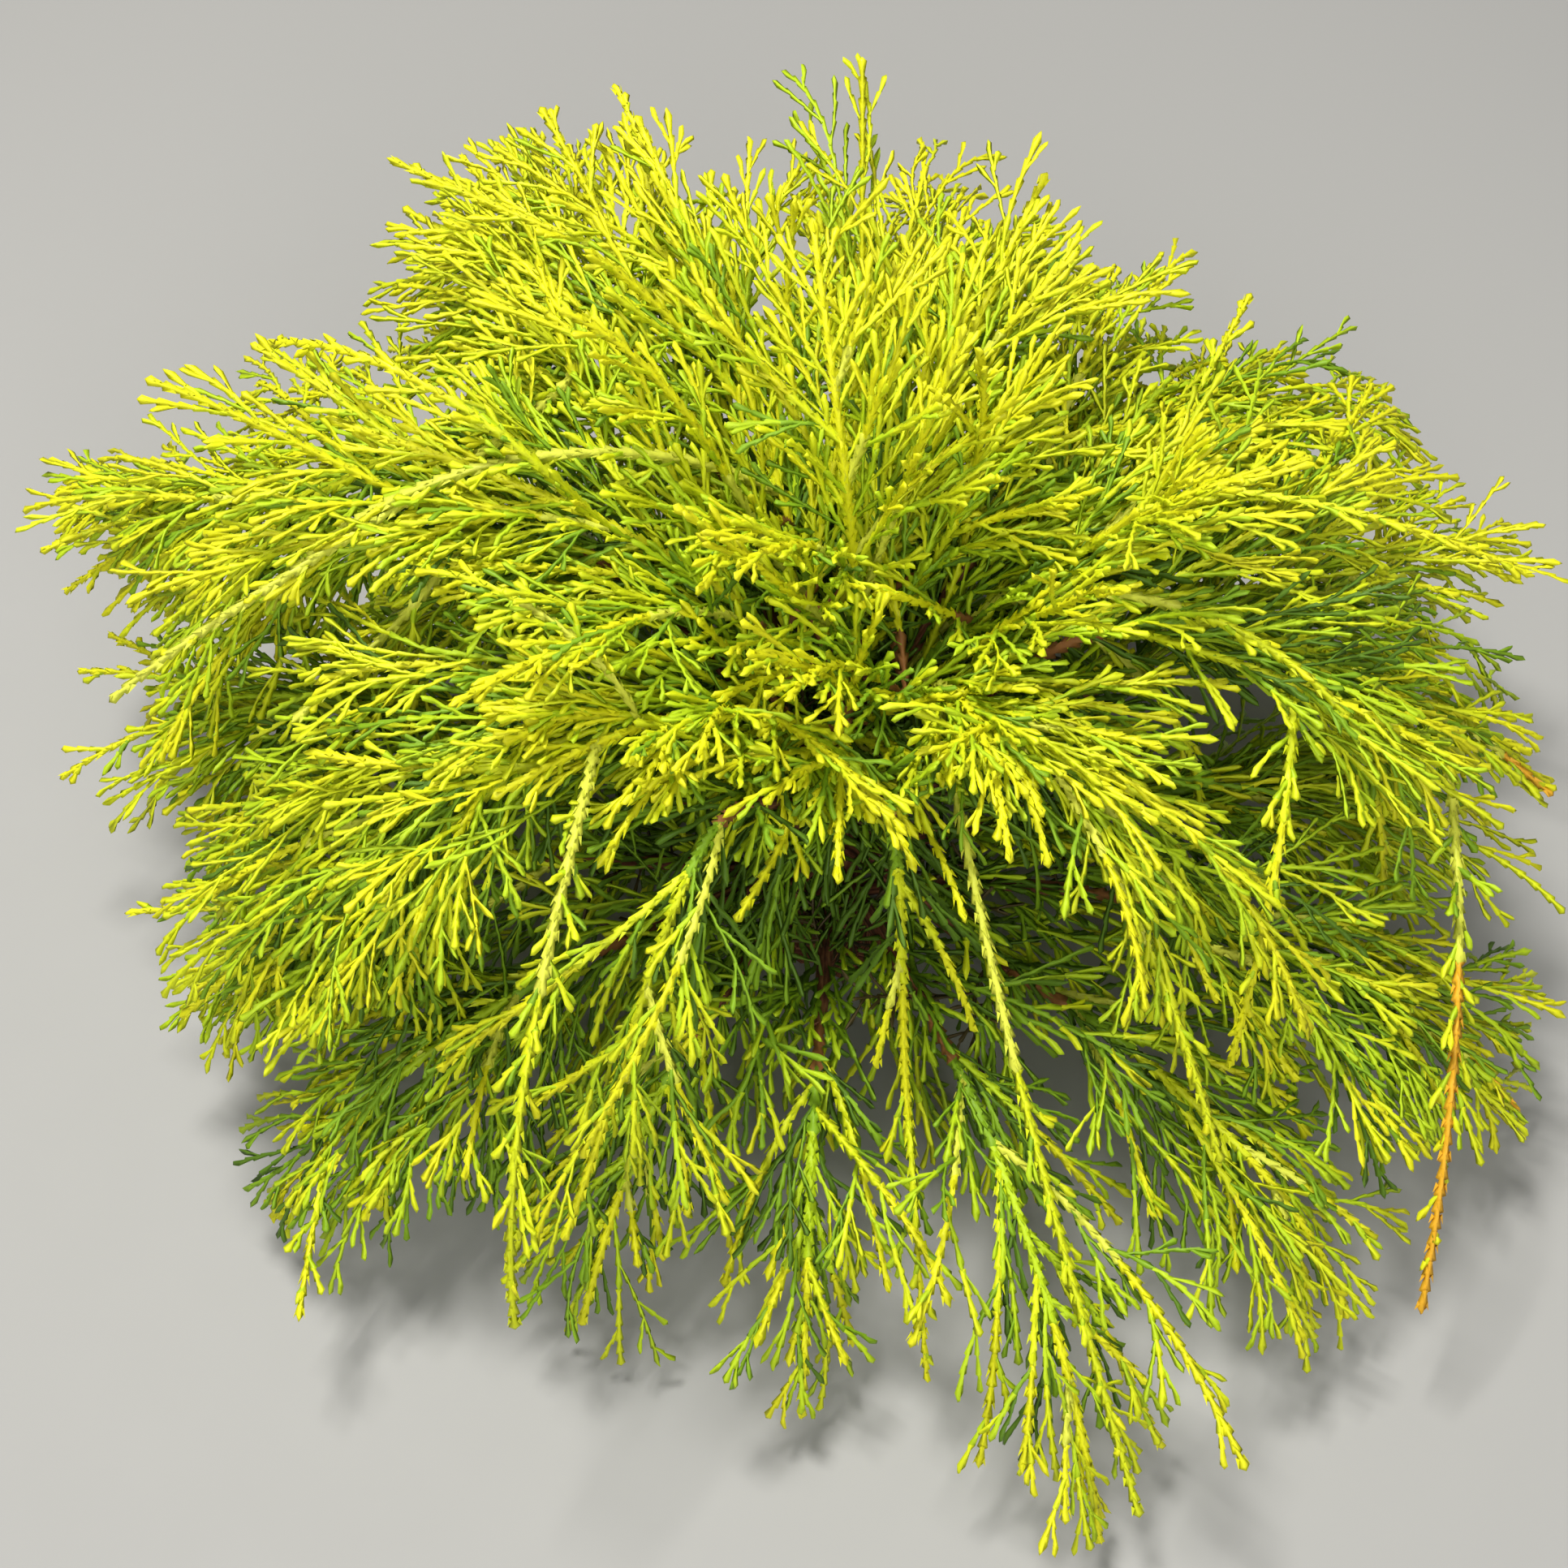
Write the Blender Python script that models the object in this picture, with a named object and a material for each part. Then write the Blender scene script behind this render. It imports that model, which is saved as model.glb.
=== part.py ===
"""A golden thread-leaf sawara cypress: a low, weeping, mop-headed shrub, rooted in level ground.

Units are metres, +Z is up, and the origin is the centre of the flat cut under the trunk.
A short trunk runs up inside the crown. Tiers of boughs spiral off it, each one tapering limb,
and each bough's tip carries one mass of thread-like foliage. A mass is one leader that arches
over and hangs, with sprays on both sides of it that branch into tines by a seeded rule.
"""

import math
import random
from typing import NamedTuple

import bmesh
import bpy
import numpy as np
from mathutils import Vector

# Clearances
JOINT_GAP = 0.0003
SPACE_GAP = 0.0006
GROUND_GAP = 0.003

# Trunk
TRUNK_HEIGHT = 0.135
TRUNK_FOOT_RADIUS = 0.0105
TRUNK_TIP_RADIUS = 0.0042
TRUNK_LEAN = Vector((0.006, 0.009, 0.0))
TRUNK_SWAY = 0.0022
TRUNK_SIDES = 15
TRUNK_RINGS = 12
FLARE_RADIUS = 0.0085
FLARE_HEIGHT = 0.011
FLARE_LOBES = 5
FLARE_LOBE_DEPTH = 0.30

# Boughs and leaders. A leader whose tip is nearer the ground hangs more steeply there.
BOUGH_SIDES = 6
BOUGH_RINGS = 6
BOUGH_ROOT_RADIUS = 0.0031
BOUGH_PULL = 0.38
BOUGH_REACH_SPREAD = 0.07
BOUGH_HEIGHT_SPREAD = 0.006
BOUGH_FOOT_SPREAD = 0.0015
LEADER_SIDES = 3
LEADER_RINGS = 7
LEADER_ROOT_RADIUS = 0.0023
LEADER_TIP_RADIUS = 0.0009
LEADER_PULL = 0.40
LEADER_SWING = 3.0
DROOP_AT_GROUND = 68.0
DROOP_LOSS = 350.0

# Sprays and tines. Shares are of a spray's length, and widths are half of the full width.
SPRAY_ANGLE_ROOT = 52.0
SPRAY_ANGLE_TIP = 30.0
SPRAY_SHARES = (0.0, 0.24, 0.40, 0.58)
SPRAY_WIDTHS = (0.0009, 0.0025, 0.0036, 0.0027)
SPRAY_THICKNESS_SHARE = 0.62
SPRAY_BEND = 0.42
SPRAY_SAG = 0.95
SPRAY_SHORTEST = 0.012
TINE_ANGLE = 34.0
TINE_RISE = 0.12
TINE_LENGTH_SHARE = 0.46
TINE_WIDTH = 0.0014
TIP_WIDTH = 0.0004
LAST_SPRAY_SHARE = 0.96
SHORTER = (1.0, 0.78, 0.58, 0.42)

BARK_COLOUR = (0.33, 0.16, 0.08, 1.0)
FOLIAGE_COLOUR = (0.45, 0.50, 0.02, 1.0)


class Tier(NamedTuple):
    """One ring of masses, evenly spaced anticlockwise from its first azimuth. Angles are degrees.

    Limbs leave the trunk at three heights in turn. bough_tip is a bough's reach and height at its
    tip, or None where the leaders grow straight from the trunk. A leader is bare up to bare_share.
    """

    name: str
    seed: int
    first_azimuth: float
    trunk_heights: tuple
    rise: float
    bough_tip: tuple
    bough_tip_rise: float
    reaches: tuple
    tip_heights: tuple
    bare_share: float
    sprays: int
    spray_length: float


TIERS = (
    Tier(
        name="skirt",
        seed=100,
        first_azimuth=-22.0,
        trunk_heights=(0.024, 0.037, 0.050),
        rise=38.0,
        bough_tip=(0.080, 0.072),
        bough_tip_rise=20.0,
        reaches=(0.236, 0.206, 0.256, 0.190, 0.172, 0.174, 0.186, 0.198,
                 0.234, 0.210, 0.220, 0.180, 0.190, 0.240, 0.224),
        tip_heights=(0.032, 0.050, 0.080, 0.062, 0.052, 0.050, 0.052, 0.058,
                     0.070, 0.052, 0.032, 0.024, 0.020, 0.014, 0.020),
        bare_share=0.04,
        sprays=12,
        spray_length=0.078,
    ),
    Tier(
        name="shoulder",
        seed=200,
        first_azimuth=2.0,
        trunk_heights=(0.064, 0.077, 0.090),
        rise=56.0,
        bough_tip=(0.058, 0.158),
        bough_tip_rise=46.0,
        reaches=(0.226, 0.208, 0.160, 0.226, 0.280, 0.222, 0.176, 0.132, 0.176),
        tip_heights=(0.108, 0.150, 0.196, 0.196, 0.112, 0.088, 0.076, 0.078, 0.080),
        bare_share=0.04,
        sprays=12,
        spray_length=0.084,
    ),
    Tier(
        name="crest",
        seed=300,
        first_azimuth=64.0,
        trunk_heights=(0.100, 0.108, 0.116),
        rise=62.0,
        bough_tip=None,
        bough_tip_rise=62.0,
        reaches=(0.142, 0.150, 0.156, 0.122, 0.086, 0.116, 0.146),
        tip_heights=(0.240, 0.254, 0.226, 0.188, 0.166, 0.180, 0.208),
        bare_share=0.30,
        sprays=14,
        spray_length=0.076,
    ),
)

# The topmost mass
APEX_SEED = 400
APEX_AZIMUTH = 98.0
APEX_REACH = 0.064
APEX_HEIGHT = 0.278
APEX_BARE_SHARE = 0.16
APEX_SPRAYS = 12
APEX_SPRAY_LENGTH = 0.060


def direction(azimuth, rise):
    """The unit vector at this azimuth and angle above the level, in degrees."""
    a, e = math.radians(azimuth), math.radians(rise)
    return Vector((math.cos(a) * math.cos(e), math.sin(a) * math.cos(e), math.sin(e)))


def place(azimuth, reach, height):
    """The point at this azimuth, distance from the origin's vertical and height."""
    a = math.radians(azimuth)
    return Vector((reach * math.cos(a), reach * math.sin(a), height))


class Path(NamedTuple):
    """Points along a curve, and the curve's unit direction at each."""

    points: list
    headings: list

    def at(self, share):
        """The point and the direction at a share of the path's stretches."""
        whole = share * (len(self.points) - 1)
        i = min(int(whole), len(self.points) - 2)
        point = self.points[i].lerp(self.points[i + 1], whole - i)
        return point, self.headings[i].lerp(self.headings[i + 1], whole - i).normalized()


def bezier(a, b, c, d, count):
    """The cubic curve with these four handles."""
    points, headings = [], []
    for i in range(count):
        t = i / (count - 1)
        s = 1 - t
        points.append(a * s**3 + b * (3 * s * s * t) + c * (3 * s * t * t) + d * t**3)
        slope = (b - a) * (s * s) + (c - b) * (2 * s * t) + (d - c) * (t * t)
        headings.append(slope.normalized())
    return Path(points, headings)


def across(tangent):
    """Two unit vectors square to a direction: one level, to its right, and one above it."""
    right = tangent.cross(Vector((0, 0, 1)))
    if right.length < 1e-4:
        right = Vector((1, 0, 0))
    right.normalize()
    return right, right.cross(tangent).normalized()


def loft(name, rings):
    """A closed mesh over rings of points, flat at both ends."""
    shape = bmesh.new()
    loops = [[shape.verts.new(p) for p in ring] for ring in rings]
    shape.faces.new(loops[0][::-1])
    for low, high in zip(loops, loops[1:]):
        for i in range(len(low)):
            j = (i + 1) % len(low)
            shape.faces.new((low[i], low[j], high[j], high[i]))
    shape.faces.new(loops[-1])
    return closed_mesh(name, shape)


def closed_mesh(name, shape):
    """Turns a bmesh's faces outwards and hands it over as a mesh."""
    bmesh.ops.recalc_face_normals(shape, faces=shape.faces)
    mesh = bpy.data.meshes.new(name)
    shape.to_mesh(mesh)
    shape.free()
    return mesh


def ring_round(centre, tangent, radius, sides):
    """A regular ring of points, square to a direction."""
    right, above = across(tangent)
    angles = [2 * math.pi * i / sides for i in range(sides)]
    return [centre + right * (radius * math.cos(a)) + above * (radius * math.sin(a)) for a in angles]


def limb_mesh(limb, sides):
    """A tapering limb with two flat ends."""
    rings = []
    for i, (centre, heading) in enumerate(zip(limb.path.points, limb.path.headings)):
        share = i / (len(limb.path.points) - 1)
        radius = limb.root_radius + (limb.tip_radius - limb.root_radius) * share
        rings.append(ring_round(centre, heading, radius, sides))
    return loft(limb.name, rings)


def material(name, colour, roughness):
    """A plain finish of this colour."""
    made = bpy.data.materials.new(name)
    made.use_nodes = True
    shader = made.node_tree.nodes["Principled BSDF"]
    shader.inputs["Base Color"].default_value = colour
    shader.inputs["Roughness"].default_value = roughness
    shader.inputs["Metallic"].default_value = 0.0
    return made


def add_object(name, mesh, finish=None):
    """A new object in the scene."""
    made = bpy.data.objects.new(name, mesh)
    bpy.context.scene.collection.objects.link(made)
    if finish is not None:
        mesh.materials.clear()
        mesh.materials.append(finish)
    return made


def trunk_centre(height):
    """The trunk's middle at a height: it leans, and sways a little to one side and back."""
    share = height / TRUNK_HEIGHT
    sway = TRUNK_SWAY * math.sin(math.pi * share)
    return TRUNK_LEAN * share**1.4 + Vector((-sway, sway * 0.5, height))


def trunk_radius(height, angle):
    """Straight taper, with a lobed flare where the roots leave it at the ground."""
    share = height / TRUNK_HEIGHT
    taper = TRUNK_FOOT_RADIUS + (TRUNK_TIP_RADIUS - TRUNK_FOOT_RADIUS) * share
    lobes = 1 + FLARE_LOBE_DEPTH * math.cos(FLARE_LOBES * angle)
    return taper + FLARE_RADIUS * lobes * math.exp(-height / FLARE_HEIGHT)


def trunk_mesh(name, extra=0.0):
    """The trunk from its flat cut at the ground to its flat tip, with extra added all round."""
    rings = []
    for i in range(TRUNK_RINGS):
        height = TRUNK_HEIGHT * (i / (TRUNK_RINGS - 1)) ** 1.5
        centre = trunk_centre(height)
        if extra and i == 0:
            centre.z -= extra
        if extra and i == TRUNK_RINGS - 1:
            centre.z += extra
        ring = []
        for k in range(TRUNK_SIDES):
            angle = 2 * math.pi * k / TRUNK_SIDES
            radius = trunk_radius(height, angle) + extra
            ring.append(centre + Vector((radius * math.cos(angle), radius * math.sin(angle), 0)))
        rings.append(ring)
    return loft(name, rings)


class Limb(NamedTuple):
    """A bough or a leader: its name, its path and its radius at each end."""

    name: str
    path: Path
    root_radius: float
    tip_radius: float


class Mass(NamedTuple):
    """One mass of foliage: its leader, and the rule that its sprays follow."""

    leader: Limb
    seed: int
    bare_share: float
    sprays: int
    spray_length: float
    on_trunk: bool


def leader_path(root, set_off, tip, azimuth):
    """A leader that sets off along one direction, arches over and hangs at its tip."""
    pull = LEADER_PULL * (tip - root).length
    droop = DROOP_AT_GROUND - DROOP_LOSS * tip.z
    return bezier(
        root, root + set_off * pull, tip - direction(azimuth, -droop) * pull, tip, LEADER_RINGS
    )


def bough_path(tier, azimuth, foot, chance):
    """A bough from the trunk's middle, rising and then levelling off towards its tip."""
    reach, height = tier.bough_tip
    reach *= 1 + chance.uniform(-BOUGH_REACH_SPREAD, BOUGH_REACH_SPREAD)
    height += chance.uniform(-BOUGH_HEIGHT_SPREAD, BOUGH_HEIGHT_SPREAD)
    tip = place(azimuth, reach, height)
    pull = BOUGH_PULL * (tip - foot).length
    away, onward = direction(azimuth, tier.rise), direction(azimuth, tier.bough_tip_rise)
    return bezier(foot, foot + away * pull, tip - onward * pull, tip, BOUGH_RINGS)


def plan_tier(tier):
    """The boughs and masses of one tier."""
    boughs, masses = [], []
    chance = random.Random(tier.seed)
    for i, reach in enumerate(tier.reaches):
        name = f"{tier.name}_{i + 1:02d}"
        azimuth = tier.first_azimuth + 360.0 * i / len(tier.reaches)
        foot_height = tier.trunk_heights[i % 3] + chance.uniform(-BOUGH_FOOT_SPREAD, BOUGH_FOOT_SPREAD)
        swing = azimuth + chance.uniform(-LEADER_SWING, LEADER_SWING)
        root, set_off = trunk_centre(foot_height), direction(azimuth, tier.rise)
        if tier.bough_tip is not None:
            path = bough_path(tier, azimuth, root, chance)
            boughs.append(Limb(f"bough_{name}", path, BOUGH_ROOT_RADIUS, LEADER_ROOT_RADIUS))
            set_off = path.headings[-1]
            root = path.points[-1] + set_off * JOINT_GAP
        path = leader_path(root, set_off, place(swing, reach, tier.tip_heights[i]), swing)
        leader = Limb(f"foliage_{name}", path, LEADER_ROOT_RADIUS, LEADER_TIP_RADIUS)
        masses.append(Mass(leader, tier.seed + i, tier.bare_share, tier.sprays, tier.spray_length,
                           tier.bough_tip is None))
    return boughs, masses


def plan_apex():
    """The mass that carries on from the trunk's own tip."""
    root = trunk_centre(TRUNK_HEIGHT) + Vector((0, 0, JOINT_GAP))
    tip = place(APEX_AZIMUTH, APEX_REACH, APEX_HEIGHT)
    path = leader_path(root, Vector((0, 0, 1)), tip, APEX_AZIMUTH)
    leader = Limb("foliage_apex", path, LEADER_ROOT_RADIUS, LEADER_TIP_RADIUS)
    return Mass(leader, APEX_SEED, APEX_BARE_SHARE, APEX_SPRAYS, APEX_SPRAY_LENGTH, False)


def nearest(points, starts, ends):
    """The distance from each point to each straight stretch."""
    along = ends - starts
    length = np.maximum((along**2).sum(1), 1e-12)
    offset = points[:, None, :] - starts[None]
    share = np.clip((offset * along[None]).sum(2) / length[None], 0, 1)
    return np.linalg.norm(offset - share[..., None] * along[None], axis=2)


class Space:
    """Says whether points lie in one mass's own space: nearer to its leader than to any
    other by enough, clear of the trunk and the boughs, and above the ground."""

    def __init__(self, boughs, masses):
        self.leaders = [self.stretches(m.leader.path.points) for m in masses]
        trunk = [trunk_centre(TRUNK_HEIGHT * i / 9) for i in range(10)]
        limbs = [(trunk, TRUNK_FOOT_RADIUS + 0.001, TRUNK_TIP_RADIUS + 0.001)]
        limbs += [(b.path.points, b.root_radius, b.tip_radius) for b in boughs]
        starts, ends, radii = [], [], []
        for points, thick, thin in limbs:
            a, b = self.stretches(points)
            starts.append(a)
            ends.append(b)
            radii.append(np.linspace(thick, thin, len(a)))
        self.limb_starts = np.concatenate(starts)
        self.limb_ends = np.concatenate(ends)
        self.limb_radii = np.concatenate(radii)

    @staticmethod
    def stretches(points):
        points = np.array(points)
        return points[:-1], points[1:]

    def holds(self, mass, points, half_width):
        points = np.array(points)
        if (points[:, 2] - half_width).min() < GROUND_GAP:
            return False
        gap = nearest(points, self.limb_starts, self.limb_ends) - self.limb_radii[None]
        if gap.min() < half_width + SPACE_GAP:
            return False
        reach = np.stack([nearest(points, a, b).min(1) for a, b in self.leaders])
        own = reach[mass].copy()
        reach[mass] = np.inf
        return bool((reach.min(0) - own).min() >= 2 * (half_width + SPACE_GAP))


def sag(heading, amount):
    """A direction bent down towards the ground."""
    return (heading + Vector((0, 0, -amount))).normalized()


def spray_heading(mass, number, share, chance):
    """Where a spray leaves the leader, and its direction: to the left and right in turn."""
    root, heading = mass.leader.path.at(share)
    right, above = across(heading)
    side = 1 if number % 2 else -1
    lift = math.radians(chance.uniform(4, 44) if number % 4 else chance.uniform(-40, -8))
    outward = right * (side * math.cos(lift)) + above * math.sin(lift)
    angle = math.radians(SPRAY_ANGLE_ROOT + (SPRAY_ANGLE_TIP - SPRAY_ANGLE_ROOT) * share)
    return root, (heading * math.cos(angle) + outward * math.sin(angle)).normalized()


def spray_path(root, set_off, length):
    """A spray's path: it sets off along one direction and sags towards the ground."""
    knee = root + set_off * (SPRAY_BEND * length)
    tip = knee + sag(set_off, SPRAY_SAG) * ((1 - SPRAY_BEND) * length)
    points = []
    for t in SPRAY_SHARES + (1.0,):
        s = 1 - t
        points.append(root * (s * s) + knee * (2 * s * t) + tip * (t * t))
    return points


def tine_tip(path, band, side, turn):
    """Where the tine that grows from one band of a spray ends, to the left or the right."""
    heading = (path[band + 1] - path[band]).normalized()
    right, above = across(heading)
    angle = math.radians(TINE_ANGLE * turn)
    outward = heading * math.cos(angle) + right * (side * math.sin(angle)) + above * TINE_RISE
    length = (path[-1] - path[0]).length * TINE_LENGTH_SHARE * turn
    start = path[band].lerp(path[band + 1], 0.5)
    return start, start + outward * length


def spray_mesh(path, widths, tines):
    """A spray: a slim three-sided body, flat below and ridged above, that narrows to its tip.
    A tine is a spike drawn out of one side of one band of it."""
    shape = bmesh.new()
    rings = []
    for i, width in enumerate(widths):
        right, above = across((path[i + 1] - path[max(i - 1, 0)]).normalized())
        low = path[i] - above * (width * SPRAY_THICKNESS_SHARE / 3)
        top = low + above * (width * SPRAY_THICKNESS_SHARE)
        rings.append([shape.verts.new(p) for p in (low - right * width, low + right * width, top)])
    shape.faces.new(rings[0][::-1])
    for band, (low, high) in enumerate(zip(rings, rings[1:])):
        for k in range(3):
            j = (k + 1) % 3
            corners = (low[k], low[j], high[j], high[k])
            if (band, k) in tines:
                spike = shape.verts.new(tines[band, k])
                for a, b in zip(corners, corners[1:] + corners[:1]):
                    shape.faces.new((a, b, spike))
            else:
                shape.faces.new(corners)
    tip = shape.verts.new(path[-1])
    for k in range(3):
        shape.faces.new((rings[-1][k], rings[-1][(k + 1) % 3], tip))
    return closed_mesh("spray", shape)


def spray_length_at(mass, share):
    """Sprays are longest a quarter of the way along a leader, and shortest at its tip."""
    return mass.spray_length * (0.30 + 0.70 * math.sin(math.pi * (0.32 + 0.68 * share)))


def spray_shapes(mass, index, space):
    """Every spray of a mass that fits in the mass's own space, shortened where it must be."""
    chance = random.Random(mass.seed)
    shapes = []
    for i in range(mass.sprays):
        share = mass.bare_share + (LAST_SPRAY_SHARE - mass.bare_share) * (i + 0.5) / mass.sprays
        share += chance.uniform(-0.012, 0.012)
        root, set_off = spray_heading(mass, i, share, chance)
        full = spray_length_at(mass, share) * chance.uniform(0.88, 1.14)
        turns = (chance.uniform(0.8, 1.2), chance.uniform(0.8, 1.2))
        for shorter in SHORTER:
            length = full * shorter
            path = spray_path(root, set_off, length)
            widths = [w * (0.7 + 0.3 * shorter) for w in SPRAY_WIDTHS]
            body = [path[0].lerp(path[1], 0.7)] + path[1:4] + [path[3].lerp(path[4], 0.5)]
            fits = space.holds(index, body, max(widths)) and space.holds(index, path[4:], TIP_WIDTH)
            if fits and length > SPRAY_SHORTEST:
                tines = tines_that_fit(path, i % 2, turns, index, space)
                shapes.append(spray_mesh(path, widths, tines))
                break
    return shapes


def tines_that_fit(path, parity, turns, index, space):
    """The tips of a spray's tines, by band and side, without those that would leave its space."""
    tines = {}
    for band, turn in zip((1, 2), turns):
        side = 1 if (band + parity) % 2 else -1
        start, end = tine_tip(path, band, side, turn)
        body = [start.lerp(end, 0.4), start.lerp(end, 0.7)]
        if space.holds(index, body, TINE_WIDTH) and space.holds(index, [end], TIP_WIDTH):
            tines[band, 1 if side > 0 else 2] = end
    return tines


def outer_shell_only(mesh):
    """Keeps the one body with the most in it: loose scraps and sealed hollows go."""
    shape = bmesh.new()
    shape.from_mesh(mesh)
    left, shells = set(shape.faces), []
    while left:
        found, todo = set(), [left.pop()]
        while todo:
            face = todo.pop()
            found.add(face)
            for edge in face.edges:
                for other in edge.link_faces:
                    if other in left:
                        left.remove(other)
                        todo.append(other)
        shells.append(found)
    shells.sort(key=len)
    bmesh.ops.delete(shape, geom=[f for shell in shells[:-1] for f in shell], context="FACES")
    shape.to_mesh(mesh)
    shape.free()


def evaluated_mesh(thing):
    """The thing's mesh with its modifiers applied."""
    bpy.context.view_layer.update()
    graph = bpy.context.evaluated_depsgraph_get()
    return bpy.data.meshes.new_from_object(thing.evaluated_get(graph))


def fused(name, base, pieces, finish):
    """One object: the base mesh joined with the pieces by one Boolean union."""
    made = add_object(name, base)
    held = bpy.data.collections.new(name + "_pieces")
    bpy.context.scene.collection.children.link(held)
    for piece in pieces:
        held.objects.link(bpy.data.objects.new("piece", piece))
    union = made.modifiers.new("union", "BOOLEAN")
    union.operation = "UNION"
    union.operand_type = "COLLECTION"
    union.collection = held
    union.solver = "EXACT"
    mesh = evaluated_mesh(made)
    made.modifiers.clear()
    made.data = mesh
    for piece in list(held.objects):
        bpy.data.objects.remove(piece)
    bpy.data.collections.remove(held)
    outer_shell_only(mesh)
    mesh.materials.clear()
    mesh.materials.append(finish)
    return made


def cut_clear(thing, cutter):
    """Cuts a limb's root back to the trunk's surface, with the gap that touching pieces keep."""
    cut = thing.modifiers.new("clear_of_trunk", "BOOLEAN")
    cut.operation = "DIFFERENCE"
    cut.object = cutter
    cut.solver = "EXACT"
    mesh = evaluated_mesh(thing)
    thing.modifiers.clear()
    thing.data = mesh
    outer_shell_only(mesh)


def main():
    for old in list(bpy.data.objects):
        bpy.data.objects.remove(old)
    bark = material("bark", BARK_COLOUR, 0.85)
    foliage = material("foliage", FOLIAGE_COLOUR, 0.55)
    add_object("trunk", trunk_mesh("trunk"), bark)
    cutter = add_object("trunk_cutter", trunk_mesh("trunk_cutter", JOINT_GAP))
    cutter.hide_render = True
    cutter.display_type = "WIRE"

    boughs, masses = [], []
    for tier in TIERS:
        more_boughs, more_masses = plan_tier(tier)
        boughs += more_boughs
        masses += more_masses
    masses.append(plan_apex())
    space = Space(boughs, masses)

    for bough in boughs:
        cut_clear(add_object(bough.name, limb_mesh(bough, BOUGH_SIDES), bark), cutter)
    for index, mass in enumerate(masses):
        stem = limb_mesh(mass.leader, LEADER_SIDES)
        made = fused(mass.leader.name, stem, spray_shapes(mass, index, space), foliage)
        if mass.on_trunk:
            cut_clear(made, cutter)


main()
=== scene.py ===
"""A golden thread-leaf sawara cypress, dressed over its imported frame.

Units are metres, +Z is up and the origin is the trunk's foot. The limbs follow the solids' rule.
Each mass of foliage grows on from its bough as a leader with side leaders, sprays, twigs and
twiglets: cord-like threads of scale leaves, joined by colour. Colours are dealt out by spray.
"""

import random
from collections import defaultdict
from math import asin, atan2, cos, degrees, exp, hypot, pi, radians, sin
from typing import NamedTuple

import bpy
import numpy as np
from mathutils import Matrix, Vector, noise


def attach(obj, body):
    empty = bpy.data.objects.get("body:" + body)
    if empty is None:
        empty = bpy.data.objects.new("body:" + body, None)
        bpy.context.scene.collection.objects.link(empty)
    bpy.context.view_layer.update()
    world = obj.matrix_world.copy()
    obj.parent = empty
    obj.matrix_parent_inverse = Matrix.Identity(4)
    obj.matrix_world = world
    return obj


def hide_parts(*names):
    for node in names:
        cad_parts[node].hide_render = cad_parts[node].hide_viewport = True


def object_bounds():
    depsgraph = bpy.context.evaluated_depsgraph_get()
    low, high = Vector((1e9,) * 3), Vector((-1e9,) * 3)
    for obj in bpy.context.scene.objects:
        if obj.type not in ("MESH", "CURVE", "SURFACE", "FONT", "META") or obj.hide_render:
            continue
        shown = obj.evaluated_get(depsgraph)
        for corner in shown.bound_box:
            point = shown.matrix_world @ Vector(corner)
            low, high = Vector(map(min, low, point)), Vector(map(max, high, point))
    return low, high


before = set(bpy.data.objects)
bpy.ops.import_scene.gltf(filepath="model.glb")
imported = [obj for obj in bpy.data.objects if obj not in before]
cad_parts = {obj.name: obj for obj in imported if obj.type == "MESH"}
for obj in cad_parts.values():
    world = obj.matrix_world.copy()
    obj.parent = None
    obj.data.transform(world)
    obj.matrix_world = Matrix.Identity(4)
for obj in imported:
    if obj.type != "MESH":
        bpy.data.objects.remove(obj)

cad_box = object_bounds()
low_corner, high_corner = cad_box

UP = Vector((0, 0, 1))
FOOT = Vector((0, 0, 0))
JOINT_GAP = 0.0003
GROUND_CLEARANCE = 0.0026
REACH_MARGIN = 0.004
CROWN_REACH = Vector((0.317, 0.266, 0.325))
LANDING_HEIGHT = 0.014

# Trunk, boughs and leaders, as in the solids
TRUNK_HEIGHT = 0.135
TRUNK_FOOT_RADIUS = 0.0105
TRUNK_TIP_RADIUS = 0.0042
TRUNK_LEAN = Vector((0.006, 0.009, 0))
TRUNK_LEAN_POWER = 1.4
TRUNK_SWAY = 0.0022
TRUNK_SWAY_BACK = 0.5
FLARE_RADIUS = 0.0085
FLARE_HEIGHT = 0.011
FLARE_LOBES = 5
FLARE_LOBE_DEPTH = 0.30
BOUGH_ROOT_RADIUS = 0.0031
BOUGH_TIP_RADIUS = 0.0023
BOUGH_PULL = 0.38
BOUGH_REACH_SPREAD = 0.07
BOUGH_HEIGHT_SPREAD = 0.006
BOUGH_FOOT_SPREAD = 0.0015
LEADER_PULL = 0.40
LEADER_SWING = 3
DROOP_AT_GROUND = 68
DROOP_LOSS = 350

# Sprays on a leader, nearly as in the solids
SPRAY_ANGLES = (40, 21)
LAST_SPRAY_SHARE = 0.93

# Threads. Droop, wave and follow are turns in radians over each metre of thread: to the ground,
# to one side and back, and into line with the shoot that carries the thread. A span is the
# stretch of a path, in shares of its length, that shoots are spread over.
LEADER_RADII = (0.0018, 0.00115)
LEADER_STRETCHES = (0.13, 0.30, 0.60, 1)
LEADER_STEP = 0.0027
LEAST_DROOP = 0.5
SIX_SIDED_FROM = 0.0014
THREAD_SIDES = (3, 4, 6)
WAVE_TURN = 2.4
TIP_DROOP = 2.6
SHORTEST_THREAD = 0.0055

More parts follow.
